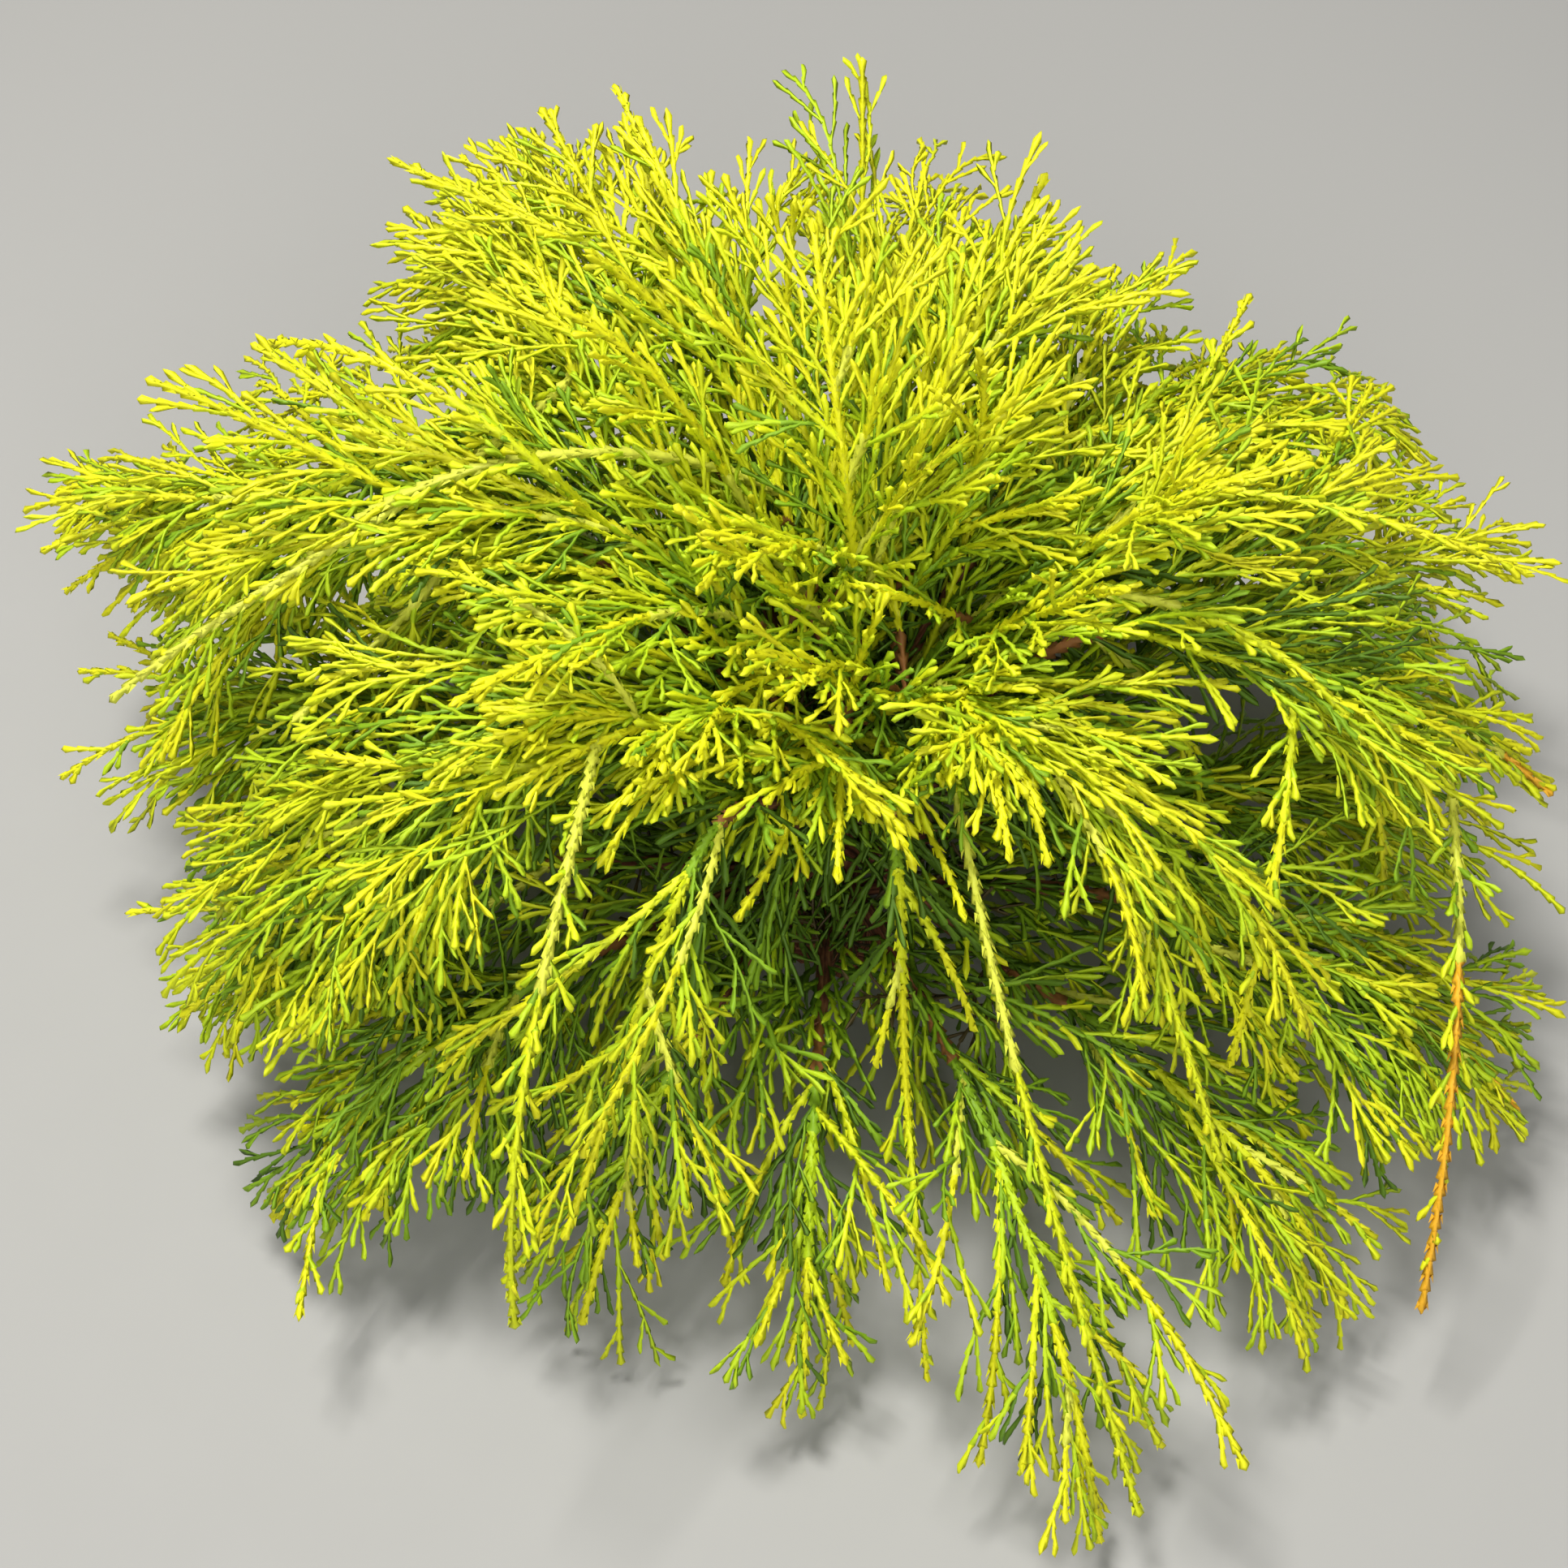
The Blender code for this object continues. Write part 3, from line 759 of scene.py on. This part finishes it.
def grow_sprays(plant, leader, first_share, full_length, droop, dice, fullness=1, style=OUTER):
    """The sprays on both sides of a leader, each of one tone with its twigs."""
    count = round(leader.length() * (LAST_SPRAY_SHARE - first_share) * fullness / SPRAY_SPACING)
    for i in range(count):
        share = first_share + (LAST_SPRAY_SHARE - first_share) * ((i + 0.5) / count) ** SPRAY_CROWDING
        share += dice.uniform(-SPRAY_SHIFT, SPRAY_SHIFT)
        root, heading, flow = side_heading(
            leader, share, i, SPRAY_ANGLES, SPRAY_LIFTS, dice, SPRAY_ANGLE_SPREAD)
        length = spray_length_at(full_length, share) * dice.uniform(*SPRAY_LENGTHS)
        if lost_in_opening(root, dice):
            continue
        bareness = 1
        if dice.random() < LONG_THREAD_CHANCE:
            length *= LONG_THREAD_SHARE
            bareness = LONG_THREAD_BARENESS
        spray = grow(root, heading, length, (droop, SPRAY_WAVE, SPRAY_FOLLOW), flow, dice, style.step)
        # Painted light: a spray that ends out on the crown's shell is dealt a more golden tone.
        lit = LIT_TONE * max(0, share_out(spray.points[-1], FOOT, CROWN_REACH) - LIT_FROM)
        tone = tone_at(root, share, dice, lit)
        add_spray(plant, tone, spray, style)
        grow_twigs(plant, tone, spray, length, droop, style, dice, bareness)


def part_of(path, start, end):
    """The stretch of a path between two shares of it."""
    last = len(path.points) - 1
    return path.points[round(start * last): round(end * last) + 1]


def add_leader(plant, leader, radii, kinds, ends):
    """A leader in stretches of different colours, with pairs of free leaf tips along it."""
    start = 0
    for kind, end in zip(kinds, ends):
        r0 = radii[0] + (radii[1] - radii[0]) * start
        r1 = radii[0] + (radii[1] - radii[0]) * end
        points = part_of(leader, start, end)
        plant[kind].append(Thread(points, r0, r1, 6 if r0 > SIX_SIDED_FROM else 4))
        if kind != "young_bark":
            plant["leaves_" + kind].append(Thread(points, r0, r1))
        start = end


def elevation(heading):
    return asin(max(-1, min(1, heading.z)))


def grow_mass(plant, mass):
    """A mass of foliage: its leader, the side leaders that run on beside it, and their sprays."""
    dice = random.Random(mass.seed)
    leader, tip = mass.leader, mass.leader.points[-1]
    length = leader.length()
    droop = max(LEAST_DROOP, (elevation(leader.headings[0]) - elevation(leader.headings[-1])) / length)
    tip_kind = kind_of(1 + tone_at(tip, 1, dice))
    kinds = ("young_bark", "green", base_kind(tip, MIDDLE_TONE_SHARE, dice), tip_kind)
    add_leader(plant, leader, LEADER_RADII, kinds, LEADER_STRETCHES)
    fullness = fullness_towards(tip)
    spray_droop = droop * SPRAY_DROOP_SHARE + mass.spray_droop + FRONT_DROOP * (1 - fullness)
    spray_length = mass.spray_length * (1 - FRONT_SHORTENING * frontness(tip))
    grow_sprays(plant, leader, mass.bare_share, spray_length, spray_droop, dice, fullness)
    turns = (droop * SIDE_DROOP, SIDE_WAVE, SIDE_FOLLOW)
    for i in range(mass.side_leaders):
        share = share_in(SIDE_SPAN, i + dice.uniform(*SIDE_JITTER), mass.side_leaders)
        angle = dice.uniform(*SIDE_ANGLES)
        root, heading, flow = side_heading(leader, share, i, (angle, angle), SIDE_LIFTS, dice)
        side_length = length * (1 - share) * dice.uniform(*SIDE_LENGTHS)
        path = grow(root, heading, side_length, turns, flow, dice, LEADER_STEP)
        kind = kind_of(1 + tone_at(path.points[-1], 1, dice))
        kinds = (base_kind(root, SIDE_TONE_SHARE, dice), kind)
        add_leader(plant, path, SIDE_RADII, kinds, SIDE_STRETCHES)
        grow_sprays(plant, path, SIDE_BARE_SHARE, spray_length * SIDE_SPRAY_SHARE, spray_droop,
                    dice, fullness)


def shoot_path(shoots, root, azimuth, dice):
    """The path of one free shoot that leaves its root at this azimuth."""
    heading = direction(azimuth, dice.uniform(*shoots.rises))
    turns = (shoots.droop, SIDE_WAVE, 0)
    return grow(root, heading, dice.uniform(*shoots.lengths), turns, UP, dice, LEADER_STEP)


def dress_shoot(plant, shoots, path, kinds, dice):
    """A free shoot's own thread, in two stretches of colour, and its sprays."""
    add_leader(plant, path, SIDE_RADII, kinds, (shoots.base_end, 1))
    grow_sprays(plant, path, shoots.bare_share, shoots.spray_length, shoots.droop, dice)


def grow_hub(plant, masses):
    """The shoots that arch over the trunk's tip, so that the middle of the crown is full."""
    dice = random.Random(HUB.seed)
    leaders = [mass.leader for mass in masses if mass.name.startswith("foliage_crest")]
    for i in range(HUB.count):
        root, _ = leaders[i % len(leaders)].at(dice.uniform(*HUB_ROOTS))
        path = shoot_path(HUB, root, TURN_BETWEEN_SHOOTS * i, dice)
        kind = kind_of(tone_at(path.points[-1], 1, dice))
        dress_shoot(plant, HUB, path, ("young_bark", kind), dice)


def grow_fringe(plant, masses):
    """The shoots that hang over the opening at the front, across the leaders behind them."""
    dice = random.Random(FRINGE.seed)
    leaders = [mass.leader for mass in masses if mass.name in FRINGE_MASSES]
    for i in range(FRINGE.count):
        root, _ = leaders[i % len(leaders)].at(dice.uniform(*FRINGE_ROOTS))
        path = shoot_path(FRINGE, root, dice.uniform(*FRINGE_AZIMUTHS), dice)
        kind = kind_of(1 + tone_at(path.points[-1], 1, dice))
        kinds = (kind_of(tone_at(root, FREE_TONE_SHARE, dice)), kind)
        dress_shoot(plant, FRINGE, path, kinds, dice)


def grow_curtain(plant, masses):
    """The leaders that hang from the high masses at the back, over the gap above the skirt."""
    dice = random.Random(CURTAIN.seed)
    leaders = [mass.leader for mass in masses if mass.name in CURTAIN_MASSES]
    for leader in leaders:
        for i in range(CURTAIN.count):
            root, _ = leader.at(share_in(CURTAIN_SPAN, i + dice.random(), CURTAIN.count))
            outward = degrees(atan2(root.y, root.x))
            path = shoot_path(CURTAIN, root, outward + dice.uniform(*CURTAIN_SWINGS), dice)
            kind = kind_of(tone_at(root, FREE_TONE_SHARE, dice))
            kinds = (kind, kind_of(1 + tone_at(path.points[-1], 1, dice)))
            dress_shoot(plant, CURTAIN, path, kinds, dice)


def whip_path(whip, number, leaders):
    """The path of one long cord, which can also swing to the left of where it sets off."""
    root, _ = leaders["foliage_" + whip.mass].at(whip.share)
    heading = direction(whip.azimuth, whip.rise)
    turns = (whip.droop, WHIP_WAVE, whip.swing)
    left = direction(whip.azimuth + 90, 0)
    return grow(root, heading, whip.length, turns, left, random.Random(WHIP_SEED + number), LEADER_STEP)


def grow_whips(plant, masses):
    """The long cords that show one by one, with short threads along them."""
    leaders = {mass.name: mass.leader for mass in masses}
    for number, whip in enumerate(WHIPS):
        path = whip_path(whip, number, leaders)
        add_leader(plant, path, whip.radii, whip.kinds, WHIP_STRETCHES)
        dice = random.Random(WHIP_SEED + number)
        grow_sprays(plant, path, WHIP_BARE_SHARE, whip.spray_length, whip.droop, dice)


def grow_under_layer(plant, boughs):
    """Shaded leaders that hang from the lower boughs to the ground, behind the skirt."""
    dice = random.Random(UNDER_SEED)
    turns = (UNDER_DROOP, SIDE_WAVE, 0)
    for name, bough in boughs.items():
        if not name.startswith("bough_skirt"):
            continue
        count = round(UNDER_LEADERS * fullness_towards(bough.points[-1]))
        for i in range(count):
            share = share_in(UNDER_SPAN, i + 0.5, count)
            root, heading, flow = side_heading(bough, share, i, UNDER_ANGLES, SPRAY_LIFTS, dice)
            path = grow(root, heading, dice.uniform(*UNDER_LENGTHS), turns, flow, dice, LEADER_STEP)
            plant["green"].append(Thread(path.points, *INNER.spray_radii))
            grow_sprays(plant, path, UNDER_BARE_SHARE, UNDER_SPRAY_LENGTH, UNDER_DROOP, dice, 1, INNER)


def grow_shade(plant, path, shade, count, dice):
    """Coarse green sprays along a leader or a bough, which close the crown from behind. Their dark
    greens are partly the inner foliage's own colour and partly painted shade.
    """
    for i in range(count):
        share = share_in(shade.span, i + dice.random(), count)
        root, heading, flow = side_heading(path, share, i, shade.angles, shade.lifts, dice,
                                           shade.angle_spread)
        length = dice.uniform(*shade.lengths)
        if heading.z > shade.steepest:
            continue
        spray = grow(root, heading, length, shade.turns, flow, dice, INNER.step)
        if shade.spares_opening and lost_in_opening(spray.points[-1], dice):
            continue
        # Partly painted shade: these shaded sprays are dealt the darkest greens.
        tone = shade.darkest + (dice.random() < shade.lighter_chance)
        add_spray(plant, tone, spray, INNER)
        grow_twigs(plant, tone, spray, length, shade.turns[0], INNER, dice)


def shade_leader(plant, mass):
    """The shaded sprays below a leader, fewer at the front."""
    count = round(BELOW_LEADER.count * fullness_towards(mass.leader.points[-1]))
    grow_shade(plant, mass.leader, BELOW_LEADER, count, random.Random(mass.seed + SHADE_SEED_STEP))


def shade_boughs(plant, boughs):
    """The sprays that cover every bough's bark from above, and those below the upper boughs."""
    dice = random.Random(ON_BOUGH_SEED)
    for bough in boughs.values():
        grow_shade(plant, bough, ON_BOUGH, ON_BOUGH.count, dice)
    dice = random.Random(BELOW_BOUGH_SEED)
    for name, bough in boughs.items():
        if name.startswith("bough_shoulder"):
            grow_shade(plant, bough, BELOW_BOUGH, BELOW_BOUGH.count, dice)


def grow_old_threads(plant, boughs):
    """The old, half bare, curly threads inside the crown, on the boughs and the trunk. Their dark
    colours are partly the plant's own old foliage and partly painted shade.
    """
    dice = random.Random(OLD_SEED)
    spots = []
    for bough in boughs.values():
        spots += [bough.at(dice.uniform(*OLD_BOUGH_SPAN))[0] for _ in range(OLD_THREADS_ON_BOUGH)]
    spots += [trunk_centre(dice.uniform(*OLD_TRUNK_HEIGHTS)) for _ in range(OLD_THREADS_ON_TRUNK)]
    for spot in spots:
        heading = direction(dice.uniform(0, 360), dice.uniform(*OLD_RISES))
        length = dice.uniform(*OLD_LENGTHS)
        kind = dice.choice(OLD_KINDS)
        thread = grow(spot, heading, length, OLD_TURNS, UP, dice, OLD_STEP)
        plant[kind].append(Thread(thread.points, OLD_RADIUS, OLD_RADIUS, 3))
        for k in range(OLD_TWIGS):
            share = share_in(OLD_TWIG_SPAN, k, OLD_TWIGS)
            root, heading, flow = side_heading(thread, share, k, OLD_TWIG_ANGLES, SPRAY_LIFTS, dice)
            twig = grow(root, heading, length * OLD_TWIG_SHARE, OLD_TWIG_TURNS, flow, dice, OLD_STEP)
            plant[kind].append(Thread(twig.points, OLD_RADIUS, OLD_RADIUS, 3))


def unit(vectors):
    return vectors / np.maximum(np.linalg.norm(vectors, axis=1, keepdims=True), 1e-9)


class Rings(NamedTuple):
    """The rings of many threads, in order: each ring's thread, its number there, and its frame."""

    points: np.ndarray
    thread: np.ndarray
    number: np.ndarray
    last: np.ndarray
    tangent: np.ndarray
    right: np.ndarray
    stride: np.ndarray


def rings_of(threads):
    """Frames that turn no more than they must, carried along each thread from its root."""
    counts = np.array([len(t.points) for t in threads])
    firsts = np.cumsum(counts) - counts
    points = np.array([tuple(p) for t in threads for p in t.points])
    thread = np.repeat(np.arange(len(threads)), counts)
    index = np.arange(len(points))
    number = index - firsts[thread]
    last = number == counts[thread] - 1
    before, after = index - (number > 0), index + ~last
    reach = points[after] - points[before]
    tangent = unit(reach)
    stride = np.linalg.norm(reach, axis=1) / np.maximum(after - before, 1)
    right = np.zeros_like(points)
    # The small push keeps the cross product of an upright thread from being nothing
    level = np.cross(tangent[firsts], (0, 0, 1)) + (1e-5, 0, 0)
    right[firsts] = unit(level)
    for ring in range(1, counts.max()):
        here = firsts[counts > ring] + ring
        carried = right[here - 1]
        along = tangent[here]
        right[here] = unit(carried - along * (carried * along).sum(1, keepdims=True))
    return Rings(points, thread, number, last, tangent, right, stride)


def scale_corners(rings, threads, sides):
    """The corners of every ring. In turn they stand wide and forward, or narrow and back,
    as the tips and the roots of scale leaves do that overlap in crossed pairs."""
    roots = np.array([t.root_radius for t in threads])[rings.thread]
    tips = np.array([t.tip_radius for t in threads])[rings.thread]
    counts = np.bincount(rings.thread)[rings.thread]
    radius = roots + (tips - roots) * (rings.number / (counts - 1))
    above = np.cross(rings.right, rings.tangent)
    roll = rings.thread * ROLL_BETWEEN_THREADS
    inner = (rings.number > 0) & ~rings.last
    corners = []
    for k in range(sides):
        angle = roll + 2 * pi * k / sides
        wide = (rings.number + k) % 2 == 0
        out = radius * np.where(wide, SCALE_WIDE, SCALE_NARROW)
        forward = rings.stride * np.where(wide, SCALE_SHIFT, -SCALE_SHIFT) * inner
        side = rings.right * np.cos(angle)[:, None] + above * np.sin(angle)[:, None]
        corners.append(rings.points + side * out[:, None] + rings.tangent * forward[:, None])
    return np.stack(corners, axis=1), radius


def thread_mesh(name, threads, sides):
    """One mesh of many threads: open where they sink into their parents, and blunt at the tip."""
    rings = rings_of(threads)
    corners, radius = scale_corners(rings, threads, sides)
    ends = np.flatnonzero(rings.last)
    apexes = rings.points[ends] + rings.tangent[ends] * (radius[ends] * CAP_LENGTH)[:, None]
    vertices = np.concatenate((corners.reshape(-1, 3), apexes))
    starts = np.flatnonzero(~rings.last) * sides
    quads, caps = [], []
    for k in range(sides):
        j = (k + 1) % sides
        quads.append(np.stack((starts + k, starts + sides + k, starts + sides + j, starts + j), axis=1))
        apex = len(rings.points) * sides + np.arange(len(ends))
        caps.append(np.stack((ends * sides + k, apex, ends * sides + j), axis=1))
    return array_mesh(name, vertices, np.concatenate(quads), np.concatenate(caps))


def array_mesh(name, vertices, quads, triangles):
    """A mesh straight from arrays of corners, smooth across its edges."""
    mesh = bpy.data.meshes.new(name)
    mesh.vertices.add(len(vertices))
    mesh.vertices.foreach_set("co", vertices.astype(np.float32).ravel())
    loops = np.concatenate((quads.ravel(), triangles.ravel()))
    mesh.loops.add(len(loops))
    mesh.loops.foreach_set("vertex_index", loops.astype(np.int32))
    quad_starts = np.arange(len(quads)) * 4
    triangle_starts = quads.size + np.arange(len(triangles)) * 3
    starts = np.concatenate((quad_starts, triangle_starts))
    mesh.polygons.add(len(starts))
    mesh.polygons.foreach_set("loop_start", starts.astype(np.int32))
    mesh.update(calc_edges=True)
    return mesh


def triangles_in(thread):
    return (2 * len(thread.points) - 1) * thread.sides


def add_object(name, data):
    made = bpy.data.objects.new(name, data)
    bpy.context.scene.collection.objects.link(made)
    return made


def add_piece(name, mesh, finish, nodes):
    """A piece of the plant, in place of these nodes of the frame."""
    piece = add_object(name, mesh)
    mesh.materials.append(finish)
    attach(piece, "root")
    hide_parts(*nodes)


def batches(threads):
    """Threads in their order, in lots of no more triangles than the largest piece."""
    batch, size = [], 0
    for thread in threads:
        if batch and size + triangles_in(thread) > LARGEST_PIECE:
            yield batch
            batch, size = [], 0
        batch.append(thread)
        size += triangles_in(thread)
    if batch:
        yield batch


def add_threads(name, threads, finish, nodes):
    """Threads of one colour, in pieces by how many sides they have."""
    for sides in THREAD_SIDES:
        group = [thread for thread in threads if thread.sides == sides]
        for number, batch in enumerate(batches(group), 1):
            piece_name = f"{name}_{sides}_sided_{number}"
            add_piece(piece_name, thread_mesh(piece_name, batch, sides), finish, nodes)


def leaf_mesh(name, stems):
    """Free leaf tips in pairs, each pair square to the one before: a keel and two flanks."""
    vertices, faces = [], []
    for stem in stems:
        path = path_through(stem.points)
        pairs = max(1, round(path.length() / LEAF_SPACING))
        for pair in range(pairs):
            share = (pair + 0.5) / pairs
            centre, along = path.at(share)
            radius = stem.root_radius + (stem.tip_radius - stem.root_radius) * share
            right, above = across(along)
            first, second = (right, above) if pair % 2 else (above, right)
            for out, side in ((first, second), (-first, -second)):
                foot = centre + out * (radius * LEAF_FOOT)
                k = len(vertices)
                vertices += [foot + side * LEAF_WIDTH, foot - side * LEAF_WIDTH,
                             centre + out * (radius * LEAF_KEEL) - along * (LEAF_LENGTH * LEAF_KEEL_BACK),
                             centre + along * LEAF_LENGTH + out * (radius + LEAF_LIFT)]
                faces += [(k, k + 3, k + 2), (k + 2, k + 3, k + 1), (k + 1, k + 3, k)]
    mesh = bpy.data.meshes.new(name)
    mesh.from_pydata(vertices, [], faces)
    return mesh


class Nodes:
    """A material's node tree, with short calls for adding to it."""

    def __init__(self, name):
        self.material = bpy.data.materials.new(name)
        self.material.use_nodes = True
        self.tree = self.material.node_tree
        self.shader = self.tree.nodes["Principled BSDF"]

    def feed(self, node, sockets):
        """Sets a node's own sockets to numbers and colours, or links them to other nodes' outputs."""
        for name, value in sockets.items():
            if isinstance(value, bpy.types.NodeSocket):
                self.tree.links.new(value, node.inputs[name])
            else:
                node.inputs[name].default_value = value

    def add(self, kind, output, sockets, **settings):
        """One output of a new node."""
        node = self.tree.nodes.new(kind)
        for name, value in settings.items():
            setattr(node, name, value)
        self.feed(node, sockets)
        return node.outputs[output]

    def noise(self, place, scale, detail):
        """Soft noise, most of it from 0.3 to 0.7."""
        return self.add("ShaderNodeTexNoise", "Fac", {"Vector": place, "Scale": scale, "Detail": detail})

    def roughen(self, value, start, end):
        """The shader's roughness, which follows a noise from start to end."""
        ends = {"From Min": 0.3, "From Max": 0.7, "To Min": start, "To Max": end}
        rough = self.add("ShaderNodeMapRange", "Result", {"Value": value, **ends})
        self.feed(self.shader, {"Roughness": rough})

    def bump(self, height, strength, distance):
        """A bump on the shader, from a noise."""
        sockets = {"Height": height, "Strength": strength, "Distance": distance}
        self.feed(self.shader, {"Normal": self.add("ShaderNodeBump", "Normal", sockets)})


def foliage_material(name, colour):
    """Satin scale leaves: one plain colour, with fine unevenness in its gloss and its surface."""
    nodes = Nodes(name)
    nodes.feed(nodes.shader, {"Base Color": colour, "Specular IOR Level": 0.42})
    spot = nodes.add("ShaderNodeTexCoord", "Object", {})
    nodes.roughen(nodes.noise(spot, scale=260, detail=2), start=0.5, end=0.75)
    nodes.bump(nodes.noise(spot, scale=1500, detail=2), strength=0.35, distance=0.0003)
    return nodes.material


def bark_material():
    """Red-brown bark in long fibrous strips, paler where it peels."""
    nodes = Nodes("bark")
    around = nodes.add("ShaderNodeUVMap", "UV", {}, uv_map="strips")
    strips = nodes.noise(around, scale=1, detail=6)
    colour = nodes.add("ShaderNodeValToRGB", "Color", {"Fac": strips})
    steps = colour.node.color_ramp.elements
    steps[0].position, steps[0].color = 0.36, linear(66, 34, 20)
    steps[1].position, steps[1].color = 0.66, linear(172, 116, 78)
    steps.new(0.5).color = linear(122, 70, 44)
    nodes.feed(nodes.shader, {"Base Color": colour})
    nodes.roughen(strips, start=0.95, end=0.72)
    nodes.bump(strips, strength=0.6, distance=0.0008)
    return nodes.material


class Limb(NamedTuple):
    """The trunk or a bough: its middle, its two directions across at each point, and its radius."""

    points: list
    frames: list
    radius_at: object
    sides: int


def bark_tube(limb, seed):
    """A limb's surface with raised strips of bark along it, and where each corner lies on it."""
    vertices, places = [], []
    along = 0
    for i, centre in enumerate(limb.points):
        if i:
            along += (centre - limb.points[i - 1]).length
        row = along / STRIP_LENGTH + seed
        right, above = limb.frames[i]
        for k in range(limb.sides + 1):
            angle = 2 * pi * (k % limb.sides) / limb.sides
            radius = limb.radius_at(i / (len(limb.points) - 1), angle)
            spot = Vector((cos(angle), sin(angle), 0)) * (radius / STRIP_WIDTH)
            spot.z = row
            ridge = noise.noise(spot * BARK_RIDGE_SCALE) * BARK_RIDGE_DEPTH
            ridge += noise.noise(spot * BARK_GRAIN_SCALE) * BARK_GRAIN_DEPTH
            out = right * cos(angle) + above * sin(angle)
            vertices.append(centre + out * (radius * (1 + ridge)))
            places.append((radius * 2 * pi * k / limb.sides / STRIP_WIDTH, row))
    return vertices, places


def bark_mesh(limbs):
    """One mesh of tubes, each capped at both ends."""
    vertices, places, faces = [], [], []
    for seed, limb in enumerate(limbs):
        first = len(vertices)
        more_vertices, more_places = bark_tube(limb, seed)
        vertices += more_vertices
        places += more_places
        row = limb.sides + 1
        for i in range(len(limb.points) - 1):
            for k in range(limb.sides):
                corner = first + i * row + k
                faces.append((corner, corner + 1, corner + row + 1, corner + row))
        faces.append([first + k for k in range(limb.sides)][::-1])
        faces.append([len(vertices) - row + k for k in range(limb.sides)])
    mesh = bpy.data.meshes.new("bark")
    mesh.from_pydata(vertices, [], faces)
    strips = mesh.uv_layers.new(name="strips")
    corners = np.empty(len(mesh.loops), dtype=np.int32)
    mesh.loops.foreach_get("vertex_index", corners)
    strips.data.foreach_set("uv", np.array(places, dtype=np.float32)[corners].ravel())
    mesh.update()
    return mesh


def trunk_radius_at(share, angle):
    """Straight taper, with a lobed flare where the roots leave it at the ground."""
    taper = TRUNK_FOOT_RADIUS + (TRUNK_TIP_RADIUS - TRUNK_FOOT_RADIUS) * share
    lobes = 1 + FLARE_LOBE_DEPTH * cos(FLARE_LOBES * angle)
    return taper + FLARE_RADIUS * lobes * exp(-share * TRUNK_HEIGHT / FLARE_HEIGHT)


def bough_radius_at(share, _angle):
    return BOUGH_ROOT_RADIUS + (BOUGH_TIP_RADIUS - BOUGH_ROOT_RADIUS) * share


def add_bark(boughs):
    """The trunk, whose rings are level as its foot is, and the boughs."""
    level = (Vector((1, 0, 0)), Vector((0, 1, 0)))
    trunk = [trunk_centre(TRUNK_HEIGHT * i / TRUNK_RINGS) for i in range(TRUNK_RINGS + 1)]
    limbs = [Limb(trunk, [level] * len(trunk), trunk_radius_at, TRUNK_SIDES)]
    for bough in boughs.values():
        frames = [across(heading) for heading in bough.headings]
        limbs.append(Limb(bough.points, frames, bough_radius_at, BOUGH_SIDES))
    add_piece("bark_of_trunk_and_boughs", bark_mesh(limbs), bark_material(), ["trunk", *boughs])


def add_foliage(boughs, masses):
    """All the threads and free leaf tips, in place of the solid masses."""
    plant = defaultdict(list)
    for mass in masses:
        grow_mass(plant, mass)
        shade_leader(plant, mass)
    for grow_shoots in (grow_hub, grow_fringe, grow_curtain, grow_whips):
        grow_shoots(plant, masses)
    for fill_crown in (grow_under_layer, shade_boughs, grow_old_threads):
        fill_crown(plant, boughs)
    nodes = [mass.name for mass in masses]
    for kind, colour in COLOURS.items():
        finish = foliage_material(kind, colour)
        add_threads("threads_" + kind, plant[kind], finish, nodes)
        if plant["leaves_" + kind]:
            name = "leaf_tips_" + kind
            add_piece(name, leaf_mesh(name, plant["leaves_" + kind]), finish, nodes)


def aim(made, target, towards, distance):
    """Puts a camera or a lamp at this distance from its target, and faces it."""
    made.location = target + towards * distance
    made.rotation_euler = (-towards).to_track_quat("-Z", "Y").to_euler()


def add_camera():
    lens = bpy.data.cameras.new("camera")
    lens.angle = radians(CAMERA_VIEW)
    camera = add_object("camera", lens)
    aim(camera, CAMERA_TARGET, direction(-90, CAMERA_RISE), CAMERA_DISTANCE)
    bpy.context.scene.camera = camera


def add_light(name, azimuth, rise, distance, size, power, colour):
    """A square lamp that faces the crown."""
    lamp = bpy.data.lights.new(name, "AREA")
    lamp.size = size
    lamp.energy = power
    lamp.color = colour
    aim(add_object(name, lamp), LAMP_TARGET, direction(azimuth, rise), distance)


def add_floor():
    """A plain pale floor, a hair under the trunk's cut."""
    half = FLOOR_SIZE / 2
    corners = ((-half, -half), (half, -half), (half, half), (-half, half))
    mesh = bpy.data.meshes.new("floor")
    mesh.from_pydata([(x, y, -FLOOR_DROP) for x, y in corners], [], [(0, 1, 2, 3)])
    floor = add_object("floor", mesh)
    nodes = Nodes("floor")
    nodes.feed(nodes.shader, {"Base Color": linear(164, 163, 160)})
    spot = nodes.add("ShaderNodeTexCoord", "Object", {})
    nodes.roughen(nodes.noise(spot, scale=30, detail=3), start=0.8, end=0.9)
    mesh.materials.append(nodes.material)


def add_studio():
    """A dim even sky, a high key lamp behind, a broad soft lamp in front, the floor and the camera."""
    world = bpy.data.worlds.new("studio")
    bpy.context.scene.world = world
    world.use_nodes = True
    sky = world.node_tree.nodes["Background"]
    sky.inputs["Color"].default_value = (1, 1, 1, 1)
    sky.inputs["Strength"].default_value = SKY_STRENGTH
    add_light("key", azimuth=148, rise=75, distance=1.7, size=0.38, power=36.5, colour=(1, 0.99, 0.96))
    add_light("fill", azimuth=-84, rise=36, distance=1.8, size=1.1, power=18, colour=(1, 1, 1))
    bpy.context.scene.view_settings.view_transform = "Standard"
    add_floor()
    add_camera()


def main():
    boughs, masses = {}, []
    for tier in TIERS:
        more_boughs, more_masses = plan_tier(tier)
        boughs.update(more_boughs)
        masses += more_masses
    masses.append(plan_apex())
    add_bark(boughs)
    add_foliage(boughs, masses)
    add_studio()


main()
